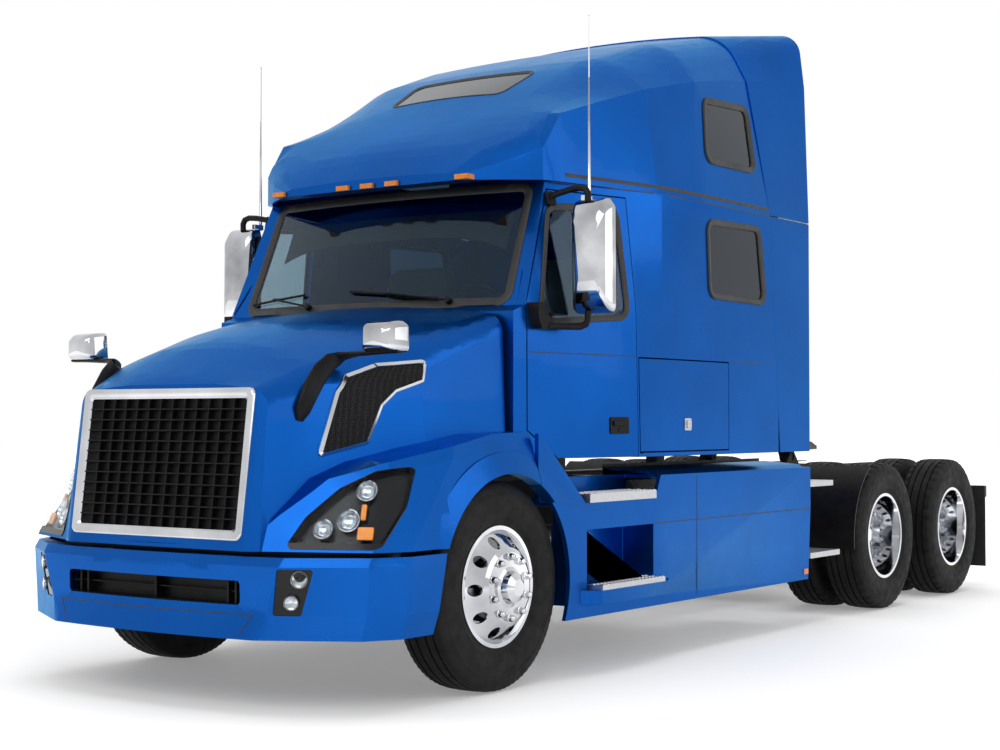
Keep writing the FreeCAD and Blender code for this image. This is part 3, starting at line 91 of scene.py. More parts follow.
def vary(tree, shader, socket, source, low, high, start=0.3, end=0.7):
    """Drive an input by colours or grey levels spread over a texture's values."""
    node = add_node(tree, "ValToRGB", links={"Fac": source})
    stops = node.color_ramp.elements
    for stop, place, colour in ((stops[0], start, low), (stops[1], end, high)):
        stop.position = place
        if isinstance(colour, (int, float)):
            colour = (colour,) * 3
        stop.color = (*colour, 1)
    tree.links.new(node.outputs["Color"], shader.inputs[socket])


def bump(tree, shader, height, strength, distance):
    node = add_node(tree, "Bump", {"Strength": strength, "Distance": distance}, {"Height": height})
    tree.links.new(node.outputs["Normal"], shader.inputs["Normal"])


def surface(name, dark, light, scale, rough, rough_scale=9.0, metal=0.0, coat=0.0, grain=None,
            stretch=None, sheen=0.0, shine=0.5, mirrored=(1, 1, 1)):
    """Opaque finish: colour and gloss vary with two noises, and a third one raises the grain."""
    material, tree, shader = new_material(name)
    set_inputs(shader, {"Specular IOR Level": shine, "Specular Tint": (*mirrored, 1), "Metallic": metal,
                        "Coat Weight": coat, "Coat Roughness": 0.03, "Sheen Weight": sheen})
    vary(tree, shader, "Base Color", noise(tree, scale, stretch=stretch), dark, light)
    vary(tree, shader, "Roughness", noise(tree, rough_scale, stretch=stretch), *rough)
    if grain:
        bump(tree, shader, noise(tree, grain[0], 2.0, stretch), grain[1], grain[2])
    return material


def glass(name, colour, rough, bend, shade=0.12, mirrored=(1, 1, 1)):
    """Tinted pane: light passes it with the tint, and faint dust varies the gloss."""
    material, tree, shader = new_material(name)
    darker = tuple(c * (1 - shade) for c in colour)
    vary(tree, shader, "Base Color", noise(tree, 3.0), darker, colour)
    vary(tree, shader, "Roughness", noise(tree, 14.0), rough, rough * 2.5)
    set_inputs(shader, {"Transmission Weight": 1.0, "IOR": bend, "Specular Tint": (*mirrored, 1)})
    return material


def mesh_cloth(name, dark, light, scale):
    """Black sheet pierced all over, drawn by cells whose middles are dark."""
    material, tree, shader = new_material(name)
    values = {"Scale": scale, "Randomness": 0.25}
    depth = add_node(tree, "TexVoronoi", values, {"Vector": object_coords(tree)}).outputs["Distance"]
    vary(tree, shader, "Base Color", depth, dark, light, 0.35, 0.6)
    set_inputs(shader, {"Roughness": 0.5, "Specular IOR Level": 0.1})
    bump(tree, shader, depth, 0.8, 0.003)
    return material


PAINT = surface("blue_metallic_paint", (0.0005, 0.064, 0.31), (0.001, 0.080, 0.37), scale=1.6,
                rough=(0.27, 0.32), metal=0.85, coat=0.09, shine=0.3, mirrored=(0.30, 0.74, 1.0),
                grain=(900.0, 0.04, 0.0003))
CHROME = surface("polished_chrome", (0.20, 0.21, 0.23), (0.66, 0.67, 0.69), scale=3.5,
                 rough=(0.03, 0.07), metal=1.0)
ALLOY = surface("polished_alloy", (0.44, 0.45, 0.47), (0.82, 0.83, 0.85), scale=3.0, rough=(0.05, 0.10),
                metal=1.0)
SATIN = surface("satin_silver", (0.46, 0.47, 0.49), (0.66, 0.67, 0.69), scale=3.0, rough=(0.16, 0.22),
                metal=1.0)
ALUMINIUM = surface("brushed_aluminium", (0.40, 0.41, 0.43), (0.58, 0.59, 0.61), scale=30.0,
                    rough=(0.28, 0.42), metal=1.0, stretch=(1, 12, 1), grain=(160.0, 0.15, 0.0006))
BLACK = surface("satin_black_metal", (0.008, 0.008, 0.009), (0.02, 0.02, 0.022), scale=8.0,
                rough=(0.4, 0.6), grain=(220.0, 0.12, 0.0006))
CASTING = surface("rough_casting", (0.012, 0.012, 0.013), (0.05, 0.048, 0.046), scale=7.0,
                  rough=(0.5, 0.75), metal=0.3, grain=(120.0, 0.4, 0.0015))
PLASTIC = surface("grained_black_plastic", (0.004, 0.004, 0.005), (0.009, 0.009, 0.010), scale=12.0,
                  rough=(0.34, 0.46), shine=0.12, grain=(600.0, 0.2, 0.0004))
PIERCED = mesh_cloth("pierced_black_sheet", (0.001, 0.001, 0.001), (0.018, 0.018, 0.020), 90.0)
GLOSS_BLACK = surface("gloss_black", (0.004, 0.004, 0.005), (0.008, 0.008, 0.010), scale=5.0,
                      rough=(0.08, 0.16), shine=0.25)
RUBBER = surface("tyre_rubber", (0.006, 0.006, 0.0065), (0.013, 0.0125, 0.012), scale=9.0,
                 rough=(0.55, 0.75), rough_scale=20.0, shine=0.15, grain=(180.0, 0.2, 0.0008))
SEAL = surface("rubber_seal", (0.006, 0.006, 0.007), (0.012, 0.012, 0.012), scale=20.0, rough=(0.45, 0.6))
TRIM = surface("grey_trim", (0.10, 0.105, 0.11), (0.14, 0.145, 0.15), scale=10.0, rough=(0.6, 0.75),
               grain=(500.0, 0.3, 0.0008))
FABRIC = surface("seat_cloth", (0.035, 0.037, 0.043), (0.08, 0.083, 0.095), scale=140.0,
                 rough=(0.85, 0.95), sheen=0.3, grain=(900.0, 0.5, 0.001))
TINTED = glass("tinted_glass", (0.40, 0.52, 0.58), rough=0.003, bend=1.36, mirrored=(0.45, 0.70, 1.0))
PRIVACY = glass("privacy_glass", (0.02, 0.04, 0.07), rough=0.01, bend=1.38, mirrored=(0.50, 0.74, 1.0))
CLEAR = glass("clear_lens", (0.92, 0.95, 0.97), rough=0.001, shade=0.03, bend=1.10)
AMBER = surface("amber_lens", (0.72, 0.19, 0.006), (0.86, 0.28, 0.01), scale=60.0, rough=(0.12, 0.2),
                coat=0.2, shine=0.3, grain=(260.0, 0.4, 0.001))
RED_LENS = surface("red_lens", (0.35, 0.01, 0.008), (0.5, 0.02, 0.012), scale=60.0, rough=(0.12, 0.2),
                   coat=1.0, grain=(260.0, 0.4, 0.001))
LAMP_GREY = surface("lamp_reflector", (0.30, 0.31, 0.33), (0.66, 0.67, 0.69), scale=40.0,
                    rough=(0.06, 0.14), metal=1.0)

# finish of the CAD pieces that are not painted; wheels and tyres follow from their names
FINISHES = ((BLACK, "crossmembers drive_shafts frame_rails suspension radiator"),
            (CASTING, "drive_axle_housings engine_block fifth_wheel_base fifth_wheel_plate front_axle_beam "
                      "knuckle_left knuckle_right"),
            (SEAL, "mudflaps"), (PLASTIC, "quarter_fenders steering_wheel"), (TRIM, "cab_floor dashboard"),
            (FABRIC, "seats bunk"), (TINTED, "windscreen door_glass_left door_glass_right"),
            (PRIVACY, "skylight sleeper_windows"), (ALUMINIUM, "fuel_tanks steps"), (AMBER, "marker_lamps"),
            (RED_LENS, "tail_lamps"), (PIERCED, "hood_vents"), (SATIN, "grille"),
            (CLEAR, "headlamps fog_lamps"), (CHROME, "hood_mirrors door_mirror_left door_mirror_right"))
NODE_FINISH = {name: finish for finish, names in FINISHES for name in names.split()}
for name, node in NODES.items():
    finish = NODE_FINISH.get(name, PAINT)
    if "tyre" in name:
        finish = RUBBER
    elif name.startswith(("front_wheel_", "dual_wheel_")):
        finish = ALLOY
    node.data.materials.clear()
    node.data.materials.append(finish)


# -------- mesh helpers

def in_scene(name, data):
    obj = bpy.data.objects.new(name, data)
    bpy.context.scene.collection.objects.link(obj)
    return obj


def add_object(name, mesh, material, body, replaced):
    obj = in_scene(name, mesh)
    mesh.materials.clear()
    mesh.materials.append(material)
    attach(obj, body)
    if replaced:
        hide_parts(replaced)
    return obj


def opened(mesh):
    build = bmesh.new()
    build.from_mesh(mesh)
    return build


def written(build, mesh):
    build.to_mesh(mesh)
    build.free()


def level_cut(build, across, place):
    """Cut all faces by a plane square to an axis."""
    everything = build.verts[:] + build.edges[:] + build.faces[:]
    bmesh.ops.bisect_plane(build, geom=everything, dist=1e-5, plane_co=across * place, plane_no=across)


def shade(mesh, angle):
    """Smooth shading with hard edges kept above the angle."""
    mesh.polygons.foreach_set("use_smooth", [True] * len(mesh.polygons))
    build = opened(mesh)
    limit = math.radians(angle)
    for edge in build.edges:
        edge.smooth = len(edge.link_faces) == 2 and edge.calc_face_angle(0) <= limit
    written(build, mesh)


def bevel_object(obj, width, segments, angle=32):
    modifier = obj.modifiers.new("edge", "BEVEL")
    modifier.width = width
    modifier.segments = segments
    modifier.limit_method = "ANGLE"
    modifier.angle_limit = math.radians(angle)
    modifier.harden_normals = True
    modifier.miter_outer = "MITER_ARC"
    return obj


def mesh_of(verts, faces, name):
    mesh = bpy.data.meshes.new(name)
    mesh.from_pydata([tuple(v) for v in verts], [], faces)
    mesh.validate()
    build = opened(mesh)
    bmesh.ops.recalc_face_normals(build, faces=build.faces)
    written(build, mesh)
    return mesh


def joined(parts):
    """Vertices and faces of several shapes as one list of each."""
    verts = []
    faces = []
    for some_verts, some_faces in parts:
        base = len(verts)
        verts += list(some_verts)
        faces += [tuple(base + index for index in face) for face in some_faces]
    return verts, faces


def circle(steps, offset=0.0):
    """Cosine and sine of evenly spread turns."""
    turns = [2 * math.pi * (step + offset) / steps for step in range(steps)]
    return [(math.cos(turn), math.sin(turn)) for turn in turns]


def looped(loops, closed=False, capped=False):
    """Surface through loops of points, neighbour to neighbour; a loop of one point is a tip."""
    verts = []
    rings = []
    for loop in loops:
        rings.append(range(len(verts), len(verts) + len(loop)))
        verts += loop
    pairs = list(zip(rings, rings[1:]))
    if closed:
        pairs.append((rings[-1], rings[0]))
    faces = []
    for one, two in pairs:
        size = max(len(one), len(two))
        for step in range(size if size > 1 else 0):
            after = (step + 1) % size
            corners = ((one, step), (one, after), (two, after), (two, step))
            faces.append(tuple(dict.fromkeys(ring[place % len(ring)] for ring, place in corners)))
    if capped:
        faces += [tuple(reversed(rings[0])), tuple(rings[-1])]
    return verts, faces


# a smaller radius is a tip
TIP = 1e-5


def lathe(profile, centre, axis, steps):
    """Closed surface from (along, radius) points turned about an axis."""
    axis = Vector(axis).normalized()
    aside = axis.orthogonal().normalized()
    other = axis.cross(aside)
    loops = []
    for along, radius in profile:
        middle = Vector(centre) + axis * along
        ring = circle(steps) if radius > TIP else [(0, 0)]
        loops.append([middle + (aside * c + other * s) * radius for c, s in ring])
    return looped(loops, closed=True)


# the two axes across each axis, and itself
AXES = {"X": (1, 2, 0), "Y": (0, 2, 1), "Z": (0, 1, 2)}


def placed(axis, a, b, level):
    """Point from its place in the plane across an axis and its level along that axis."""
    point = Vector()
    for index, value in zip(AXES[axis], (a, b, level)):
        point[index] = value
    return point


def slab(outline, axis, start, end):
    """Outline of (a, b) points pushed along X, Y or Z, where a and b are the two other axes in order."""
    return looped([[placed(axis, a, b, level) for a, b in outline] for level in (start, end)], capped=True)


def brick(x0, x1, y0, y1, z0, z1):
    """Box between two corners."""
    return slab([(x0, y0), (x1, y0), (x1, y1), (x0, y1)], "Z", z0, z1)


def rounded_points(points, radius, steps):
    """Outline with each corner replaced by an arc."""
    result = []
    for index, corner in enumerate(map(Vector, points)):
        back = Vector(points[index - 1]) - corner
        ahead = Vector(points[(index + 1) % len(points)]) - corner
        half = back.angle(ahead) / 2
        run = min(radius / math.tan(half), 0.45 * back.length, 0.45 * ahead.length)
        fit = run * math.tan(half)
        back.normalize()
        ahead.normalize()
        centre = corner + (back + ahead).normalized() * (fit / math.sin(half))
        first, last = corner + back * run - centre, corner + ahead * run - centre
        result += [tuple(centre + first.lerp(last, step / steps).normalized() * fit)
                   for step in range(steps + 1)]
    return result


def tube(points, radius, steps):
    """Round bar through the points, mitred at each bend."""
    points = [Vector(point) for point in points]
    loops = []
    aside = None
    for index, point in enumerate(points):
        one = (point - points[max(index - 1, 0)]).normalized()
        two = (points[min(index + 1, len(points) - 1)] - point).normalized()
        along = (one + two).normalized()
        if aside is None:
            aside = along.orthogonal().normalized()
        aside = (aside - along * aside.dot(along)).normalized()
        other = along.cross(aside)
        reach = radius / max(0.5, along.dot(one)) if one.length and two.length else radius
        loops.append([point + (aside * c + other * s) * reach for c, s in circle(steps)])
    return looped(loops, capped=True)


def piece(name, parts, material, body="chassis", width=0.0, replaced=None, angle=38, segments=2):
    """Solid piece of one material, made of one or more closed shapes."""
    verts, faces = joined(parts)
    mesh = mesh_of(verts, faces, name)
    shade(mesh, angle)
    obj = add_object(name, mesh, material, body, replaced)
    if width:
        bevel_object(obj, width, segments)
    return obj


# corners closer than this are one
WELD = 0.00002


def softened(node_name, width, body, material=None, name=None):
    """The CAD piece with its edges rounded off as pressed panels and castings have them."""
    source = NODES[node_name]
    mesh = source.data.copy()
    build = opened(mesh)
    bmesh.ops.remove_doubles(build, verts=build.verts, dist=WELD)
    bmesh.ops.dissolve_limit(build, angle_limit=math.radians(0.6), verts=build.verts, edges=build.edges,
                             delimit={"NORMAL"})
    written(build, mesh)
    if "custom_normal" in mesh.attributes:
        mesh.attributes.remove(mesh.attributes["custom_normal"])
    shade(mesh, 28)
    finish = material or NODE_FINISH.get(node_name, PAINT)
    obj = add_object(name or node_name + "_skin", mesh, finish, body, node_name)
    return bevel_object(obj, width, 3, 30)


BODY_OF = {name: body for body, names in frame["record"]["behaviour"]["bodies"].items() for name in names}


# -------- body panels

def baked(obj):
    """Work the modifiers into the mesh."""
    graph = bpy.context.evaluated_depsgraph_get()
    mesh = bpy.data.meshes.new_from_object(obj.evaluated_get(graph), depsgraph=graph)
    obj.modifiers.clear()
    obj.data = mesh
    return mesh


def divided(mesh, step):
    """Cut long faces by level planes a step apart along each axis."""
    build = opened(mesh)
    bmesh.ops.triangulate(build, faces=build.faces)
    for axis in range(3):
        values = [vert.co[axis] for vert in build.verts]
        across = Vector((axis == 0, axis == 1, axis == 2))
        place = (math.floor(min(values) / step) + 1) * step
        while place < max(values):
            level_cut(build, across, place)
            place += step
    written(build, mesh)


def read(collection, name, width=1, kind=float):
    """A property of all items as rows of numbers."""
    values = np.empty(len(collection) * width, kind)
    collection.foreach_get(name, values)
    return values.reshape(-1, width) if width > 1 else values


def add_up(total, places, values):
    """Add each row of values to the row of the total that its place names."""
    for axis in range(3):
        total[:, axis] += np.bincount(places, values[:, axis], len(total))


def even_normals(mesh, kink, hard, turns):
    """Even out the shading over slight kinks between faces and keep real edges hard."""
    normals = read(mesh.polygons, "normal", 3)
    areas = read(mesh.polygons, "area")[:, None] + 1e-12
    faces = np.repeat(np.arange(len(normals)), read(mesh.polygons, "loop_total", 1, int))
    edges = read(mesh.loops, "edge_index", 1, int)
    verts = read(mesh.loops, "vertex_index", 1, int)
    order = np.argsort(edges, kind="stable")
    same = edges[order][1:] == edges[order][:-1]
    one = faces[order][:-1][same]
    two = faces[order][1:][same]
    close = (normals[one] * normals[two]).sum(1) > math.cos(math.radians(kink))
    one, two = one[close], two[close]
    for _ in range(turns):
        total = normals * areas
        add_up(total, one, (normals * areas)[two])
        add_up(total, two, (normals * areas)[one])
        normals = total / np.linalg.norm(total, axis=1, keepdims=True)
    order = np.argsort(verts, kind="stable")
    verts, faces = verts[order], faces[order]
    weight = normals * areas
    total = weight[faces].copy()
    for reach in range(1, 60):
        one = np.nonzero(verts[reach:] == verts[:-reach])[0]
        if not len(one):
            break
        two = one + reach
        near = (normals[faces[one]] * normals[faces[two]]).sum(1) > math.cos(math.radians(hard))
        one, two = one[near], two[near]
        add_up(total, one, weight[faces[two]])
        add_up(total, two, weight[faces[one]])
    total /= np.linalg.norm(total, axis=1, keepdims=True) + 1e-20
    corners = np.empty_like(total)
    corners[order] = total
    mesh.polygons.foreach_set("use_smooth", [True] * len(mesh.polygons))
    mesh.normals_split_custom_set(corners.tolist())


# edge rounding, size of the faces that carry even shading, and the kink and turns of the evening
PANELS = {"cab_cowl": (0.006, 0.1, 16, 10), "cab_side_panels": (0.005, 0, 0, 0),
          "door_left": (0.004, 0.1, 16, 10), "door_right": (0.004, 0.1, 16, 10),
          "luggage_door_left": (0.004, 0, 0, 0), "luggage_door_right": (0.004, 0, 0, 0),
          "roof_cap": (0.010, 0.06, 27, 70), "rear_fairings": (0.004, 0.09, 20, 20),
          "hood_shell": (0.010, 0.06, 20, 30), "front_bumper": (0.006, 0.08, 18, 12),
          "side_skirts": (0.005, 0, 0, 0), "cab_back_wall": (0.004, 0, 0, 0)}
for name, (width, step, kink, turns) in PANELS.items():
    panel = softened(name, width, BODY_OF[name])
    if step:
        mesh = baked(panel)
        divided(mesh, step)
        even_normals(mesh, kink, kink + 20, turns)


# -------- strips that lie on a surface

def skin_of(*names):
    """Search tree over the faces of some CAD pieces."""
    parts = []
    for node in (NODES[name] for name in names):
        parts.append(([node.matrix_world @ vert.co for vert in node.data.vertices],
                      [tuple(face.vertices) for face in node.data.polygons]))
    return BVHTree.FromPolygons(*joined(parts))


# how far out the rays start that look for a skin
OUTSIDE = 8.0


def on_skin(tree, axis, sign, a, b):
    """First point of the skin met from outside along an axis, and its outward normal."""
    way = placed(axis, 0, 0, -sign)
    place, normal = tree.ray_cast(placed(axis, a, b, sign * OUTSIDE), way)[:2]
    if place is None:
        return None, None
    return place, (normal if normal.dot(way) < 0 else -normal)


# across and height of a strip's section, as shares of its half width and of its lift or depth
STRIP = ((-1.0, -1.0), (-1.0, 0.4), (-0.7, 1.0), (0.7, 1.0), (1.0, 0.4), (1.0, -1.0))
# a strip's foot lies this deep; it leaves out points where the skin turns away and bridges steps in it
SUNK, STEEPEST, SKIN_STEP = 0.004, 0.35, 0.012


def strip(tree, axis, sign, outline, width, lift, closed=True):
    """Low band along an outline, laid on the skin."""
    order = AXES[axis]
    count = len(outline)
    loops = []
    for index, point in enumerate(outline):
        point = Vector(point)
        before = Vector(outline[index - 1]) if index or closed else point
        after = Vector(outline[(index + 1) % count]) if index < count - 1 or closed else point
        along = (after - before).normalized()
        across = Vector((-along.y, along.x))
        middle, up = on_skin(tree, axis, sign, point.x, point.y)
        if middle is None or abs(up[order[2]]) < STEEPEST:
            continue
        loop = []
        for side, high in STRIP:
            spot = point + across * (side * width / 2)
            place = on_skin(tree, axis, sign, spot.x, spot.y)[0]
            flat = placed(axis, spot.x, spot.y, middle[order[2]])
            flat[order[2]] -= (flat - middle).dot(up) / up[order[2]]
            if place is None or abs(place[order[2]] - flat[order[2]]) > SKIN_STEP:
                place = flat
            loop.append(place + up * (lift if high > 0 else SUNK) * high)
        loops.append(loop)
    return looped(loops, closed, not closed)


def spread(points, step):
    """More points along a line of straight runs."""
    result = []
    for start, end in zip(points, points[1:]):
        start, end = Vector(start), Vector(end)
        count = max(1, int((end - start).length / step))
        result += [tuple(start.lerp(end, index / count)) for index in range(count)]
    return result + [tuple(points[-1])]


def ring_of(points, radius, step=0.05):
    """Rounded closed outline with evenly spread points."""
    corners = rounded_points(points, radius, 7)
    return spread(corners + corners[:1], step)[:-1]


def side_outline(points):
    """Millimetre (station, height) corners as (y, z) in metres."""
    return [(at(a / 1000), b / 1000) for a, b in points]


WINDSCREEN = [(-0.915, 1.945), (0.915, 1.945), (0.885, 2.575), (-0.885, 2.575)]
LOWER_WINDOW = side_outline([(2030, 2493), (2680, 2505), (2760, 2054), (2059, 2060)])
UPPER_WINDOW = side_outline([(2103, 3227), (2700, 3262), (2697, 2870), (2069, 2861)])
DOOR_WINDOW = side_outline([(672, 2455), (1165, 2500), (1180, 1890), (498, 1838)])
SKYLIGHT = [(-0.395, at(1.090)), (0.395, at(1.090)), (0.435, at(1.400)), (-0.435, at(1.400))]

side_skin = skin_of("cab_side_panels", "cab_cowl", "roof_cap", "rear_fairings", "sleeper_windows")
door_skin = skin_of("door_left", "door_right", "door_glass_left", "door_glass_right")
front_skin = skin_of("cab_cowl", "windscreen")
top_skin = skin_of("roof_cap", "skylight")

seal = strip(front_skin, "Y", -1, ring_of(WINDSCREEN, 0.06), 0.05, 0.006)
piece("windscreen_seal", [seal], SEAL)
seal = strip(top_skin, "Z", 1, ring_of(SKYLIGHT, 0.05), 0.024, 0.004)
piece("skylight_seal", [seal], SEAL)
frames = []
for side, sign in SIDES:
    frames += [strip(side_skin, "X", sign, ring_of(outline, 0.06), 0.040, 0.012)
               for outline in (LOWER_WINDOW, UPPER_WINDOW)]
    seal = strip(door_skin, "X", sign, ring_of(DOOR_WINDOW, 0.07), 0.036, 0.009)
    piece("door_window_seal_" + side, [seal], SEAL, "door_" + side)
piece("sleeper_window_seals", frames, SEAL)


# -------- grille, bumper slot and vents

GRILLE_HALF, GRILLE_LOW, GRILLE_TOP, GRILLE_BORDER = 0.569, 0.780, 1.487, 0.048
GRILLE_COLUMNS, GRILLE_ROWS, GRILLE_BAR = 13, 12, 0.007
GRILLE_TILT = math.atan2(0.089, GRILLE_TOP - GRILLE_LOW)


def leaned(across, depth, height):
    """Point of the grille, drawn upright behind its face, after it leans back with the nose."""
    rise = height - GRILLE_LOW
    return Vector((across, at(-1.196) + depth * math.cos(GRILLE_TILT) + rise * math.sin(GRILLE_TILT),
                   GRILLE_LOW - depth * math.sin(GRILLE_TILT) + rise * math.cos(GRILLE_TILT)))


def leaned_parts(parts):
    """Shapes drawn upright, leaned back with the nose."""
    return [([leaned(*vert) for vert in verts], faces) for verts, faces in parts]


def grille_loop(inset, depth, radius):
    """Rounded rectangle inside the grille's outline, at a depth."""
    half = GRILLE_HALF - inset
    low, high = GRILLE_LOW + inset, GRILLE_TOP - inset
    corners = [(-half, low), (half, low), (half, high), (-half, high)]
    return [Vector((x, depth, z)) for x, z in rounded_points(corners, radius, 7)]


# inset, depth and corner radius of each loop round the surround
SURROUND = [(0.0, 0.044, 0.036), (0.0, 0.006, 0.036), (0.003, 0.001, 0.034), (0.008, 0.0, 0.032),
            (0.034, 0.003, 0.022), (0.040, 0.006, 0.020), (0.044, 0.012, 0.018),
            (GRILLE_BORDER, 0.014, 0.016), (GRILLE_BORDER, 0.044, 0.016)]
surround = looped([grille_loop(*row) for row in SURROUND], closed=True)
piece("grille_surround", leaned_parts([surround]), SATIN, "hood", replaced="grille", angle=50)
# opening of the surround, and how far the bars run in under its edge
half, low, high = GRILLE_HALF - GRILLE_BORDER, GRILLE_LOW + GRILLE_BORDER, GRILLE_TOP - GRILLE_BORDER
under = 0.004
bars = []
for index in range(1, GRILLE_COLUMNS):
    x = -half + 2 * half * index / GRILLE_COLUMNS
    bars.append(brick(x - GRILLE_BAR / 2, x + GRILLE_BAR / 2, 0.014, 0.042, low - under, high + under))
for index in range(1, GRILLE_ROWS):
    z = low + (high - low) * index / GRILLE_ROWS
    bars.append(brick(-half - under, half + under, 0.010, 0.042, z - GRILLE_BAR / 2, z + GRILLE_BAR / 2))
bars.append(brick(-half - under, half + under, 0.041, 0.045, low - under, high + under))
piece("grille_bars", leaned_parts(bars), PLASTIC, "hood", 0.0012, replaced="grille", segments=1)

# back, upper and lower lip, uprights and the bar across the bumper's slot
insert = [brick(-0.60, 0.60, at(-1.120), at(-1.114), 0.47, 0.63),
          brick(-0.60, 0.60, at(-1.180), at(-1.120), 0.470, 0.4935),
          brick(-0.60, 0.60, at(-1.180), at(-1.120), 0.6025, 0.626)]
insert += [brick(x - 0.007, x + 0.007, at(-1.170), at(-1.120), 0.48, 0.62)
           for x in (-0.52, -0.47, 0.0, 0.47, 0.52)]
insert.append(brick(-0.59, 0.59, at(-1.155), at(-1.145), 0.545, 0.553))
piece("bumper_slot_insert", insert, PLASTIC, width=0.002, segments=1)

# black lip that closes the gap between the bumper and the hood
LIP = [(-1.10, -0.780), (-0.80, -1.020), (-0.55, -1.080), (0.55, -1.080), (0.80, -1.020), (1.10, -0.780)]
lip = [(x, at(y)) for x, y in LIP] + [(x, at(y + 0.03)) for x, y in reversed(LIP)]
piece("bumper_lip", [slab(lip, "Z", 0.66, 0.729)], PLASTIC)
bumper_skin = skin_of("front_bumper")
lines = [[(-0.64, 0.452), (0.64, 0.452)]]
for _, sign in SIDES:
    lines.append([(sign * 0.64, 0.452), (sign * 0.575, 0.352)])
    lines.append([(sign * 0.735, 0.700), (sign * 0.725, 0.640)])
seams = [strip(bumper_skin, "Y", -1, spread(line, 0.08), 0.005, 0.0012, closed=False) for line in lines]
piece("bumper_seams", seams, SEAL)

VENT = side_outline([(-850, 1165), (-600, 1225), (-520, 1400), (-440, 1470), (-290, 1520), (-270, 1615),
                     (-520, 1590), (-690, 1535), (-750, 1460)])
hood_skin = skin_of("hood_shell", "hood_vents")
rims = [strip(hood_skin, "X", sign, ring_of(VENT, 0.012, 0.03), 0.020, 0.010) for _, sign in SIDES]
piece("hood_vent_rims", rims, SATIN, "hood")


# -------- lamps

# (along, radius) sections as shares of a lamp's radius
BOWL = [(-0.26, 0.0), (-0.24, 0.5), (0.0, 0.92), (0.30, 1.0), (0.34, 0.93), (0.08, 0.82), (-0.10, 0.55),
        (-0.14, 0.0)]
DOME = [(-0.10, 0.0), (-0.10, 0.60), (0.06, 0.62), (0.20, 0.48), (0.29, 0.26), (0.32, 0.0)]


def lamp_part(profile, centre, axis, radius, steps):
    return lathe([(a * radius, r * radius) for a, r in profile], centre, axis, steps)


def block_on(centre, normal, wide, tall, thick, radius=0.006):
    """Small rounded block lying on a surface at a point."""
    normal = Vector(normal).normalized()
    aside = Vector((0, 0, 1)).cross(normal).normalized()
    upward = normal.cross(aside)
    corners = rounded_points([(-wide / 2, -tall / 2), (wide / 2, -tall / 2), (wide / 2, tall / 2),
                              (-wide / 2, tall / 2)], radius, 4)
    loops = [[Vector(centre) + aside * a + upward * b + normal * high for a, b in corners]
             for high in (-thick / 2, thick / 2)]
    return looped(loops, capped=True)


def flipped(vector, sign):
    return Vector((vector[0] * sign, vector[1], vector[2]))


def behind(point, sign, axis, depth):
    """Place behind a point of the lens, which is given in millimetres as x, station and height."""
    x, station, z = point
    return Vector((sign * x / 1000, at(station / 1000), z / 1000)) - axis * depth


LAMP_NORMAL = Vector((0.37, -0.85, 0.37)).normalized()
# point on the lens and radius of each reflector, or width and height of each signal
PROJECTORS = [((1001, -823, 1012), 0.050), ((972, -919, 879), 0.054), ((879, -987, 841), 0.046)]
TURN_SIGNALS = (((1020, -866, 915), 0.024, 0.075), ((1062, -905, 822), 0.075, 0.060))
BEZEL_TOP = 0.776


def shell_piece(name, chosen, material):
    """Thin skin made from some faces of the headlamps, thickened inward."""
    node = NODES["headlamps"]
    mesh = node.data.copy()
    mesh.transform(node.matrix_world)
    build = opened(mesh)
    bmesh.ops.remove_doubles(build, verts=build.verts, dist=WELD)
    level_cut(build, Vector((0, 0, 1)), BEZEL_TOP)
    build.normal_update()
    dropped = [face for face in build.faces if not chosen(face)]
    bmesh.ops.delete(build, geom=dropped, context="FACES")
    written(build, mesh)
    shade(mesh, 35)
    modifier = add_object(name, mesh, material, "hood", "headlamps").modifiers.new("thickness", "SOLIDIFY")
    modifier.thickness = 0.003
    modifier.offset = -1


def lens_face(face):
    middle = face.calc_center_median()
    outward = flipped(LAMP_NORMAL, 1 if middle.x > 0 else -1)
    return face.normal.dot(outward) > 0.4 and middle.z > BEZEL_TOP


shell_piece("headlamp_lens", lens_face, CLEAR)
shell_piece("headlamp_housing", lambda face: not lens_face(face), GLOSS_BLACK)
bowls, domes, ambers = [], [], []
for _, sign in SIDES:
    axis = flipped(LAMP_NORMAL, sign)
    for point, radius in PROJECTORS:
        centre = behind(point, sign, axis, 0.010 + 0.36 * radius)
        bowls.append(lamp_part(BOWL, centre, axis, radius, 40))
        domes.append(lamp_part(DOME, centre, axis, radius, 32))
    for point, wide, tall in TURN_SIGNALS:
        ambers.append(block_on(behind(point, sign, axis, 0.014), axis, wide, tall, 0.010))
piece("headlamp_reflectors", bowls, LAMP_GREY, "hood", angle=50)
piece("headlamp_domes", domes, CLEAR, "hood", angle=50)
piece("turn_signals", ambers, AMBER, "hood", 0.002)

POD_NORMAL = Vector((0.555, -0.83, 0.03)).normalized()
softened("fog_lamps", 0.002, "chassis", GLOSS_BLACK, "fog_lamp_pods")
FOG_LAMPS = (((861, -1119, 616), 0.040), ((830, -1138, 512), 0.035))
# (along, share of the radius) section of each part of a fog lamp
FOG_PARTS = (
    ("rings", CHROME, ((-0.010, 0.9), (0.004, 1.0), (0.009, 0.95), (0.006, 0.84), (-0.004, 0.80))),
    ("reflectors", LAMP_GREY, ((-0.012, 0.0), (-0.010, 0.82), (0.001, 0.82), (-0.003, 0.4), (-0.005, 0.0))),
    ("lenses", CLEAR, ((0.003, 0.0), (0.003, 0.86), (0.006, 0.84), (0.010, 0.5), (0.012, 0.0))))
for part, material, profile in FOG_PARTS:
    shapes = []
    for _, sign in SIDES:
        axis = flipped(POD_NORMAL, sign)
        for point, radius in FOG_LAMPS:
            centre = behind(point, sign, axis, 0.004)
            shapes.append(lathe([(along, share * radius) for along, share in profile], centre, axis, 40))
    piece("fog_lamp_" + part, shapes, material, angle=50)


# -------- tyres and wheels

TYRE_RADIUS = 0.515
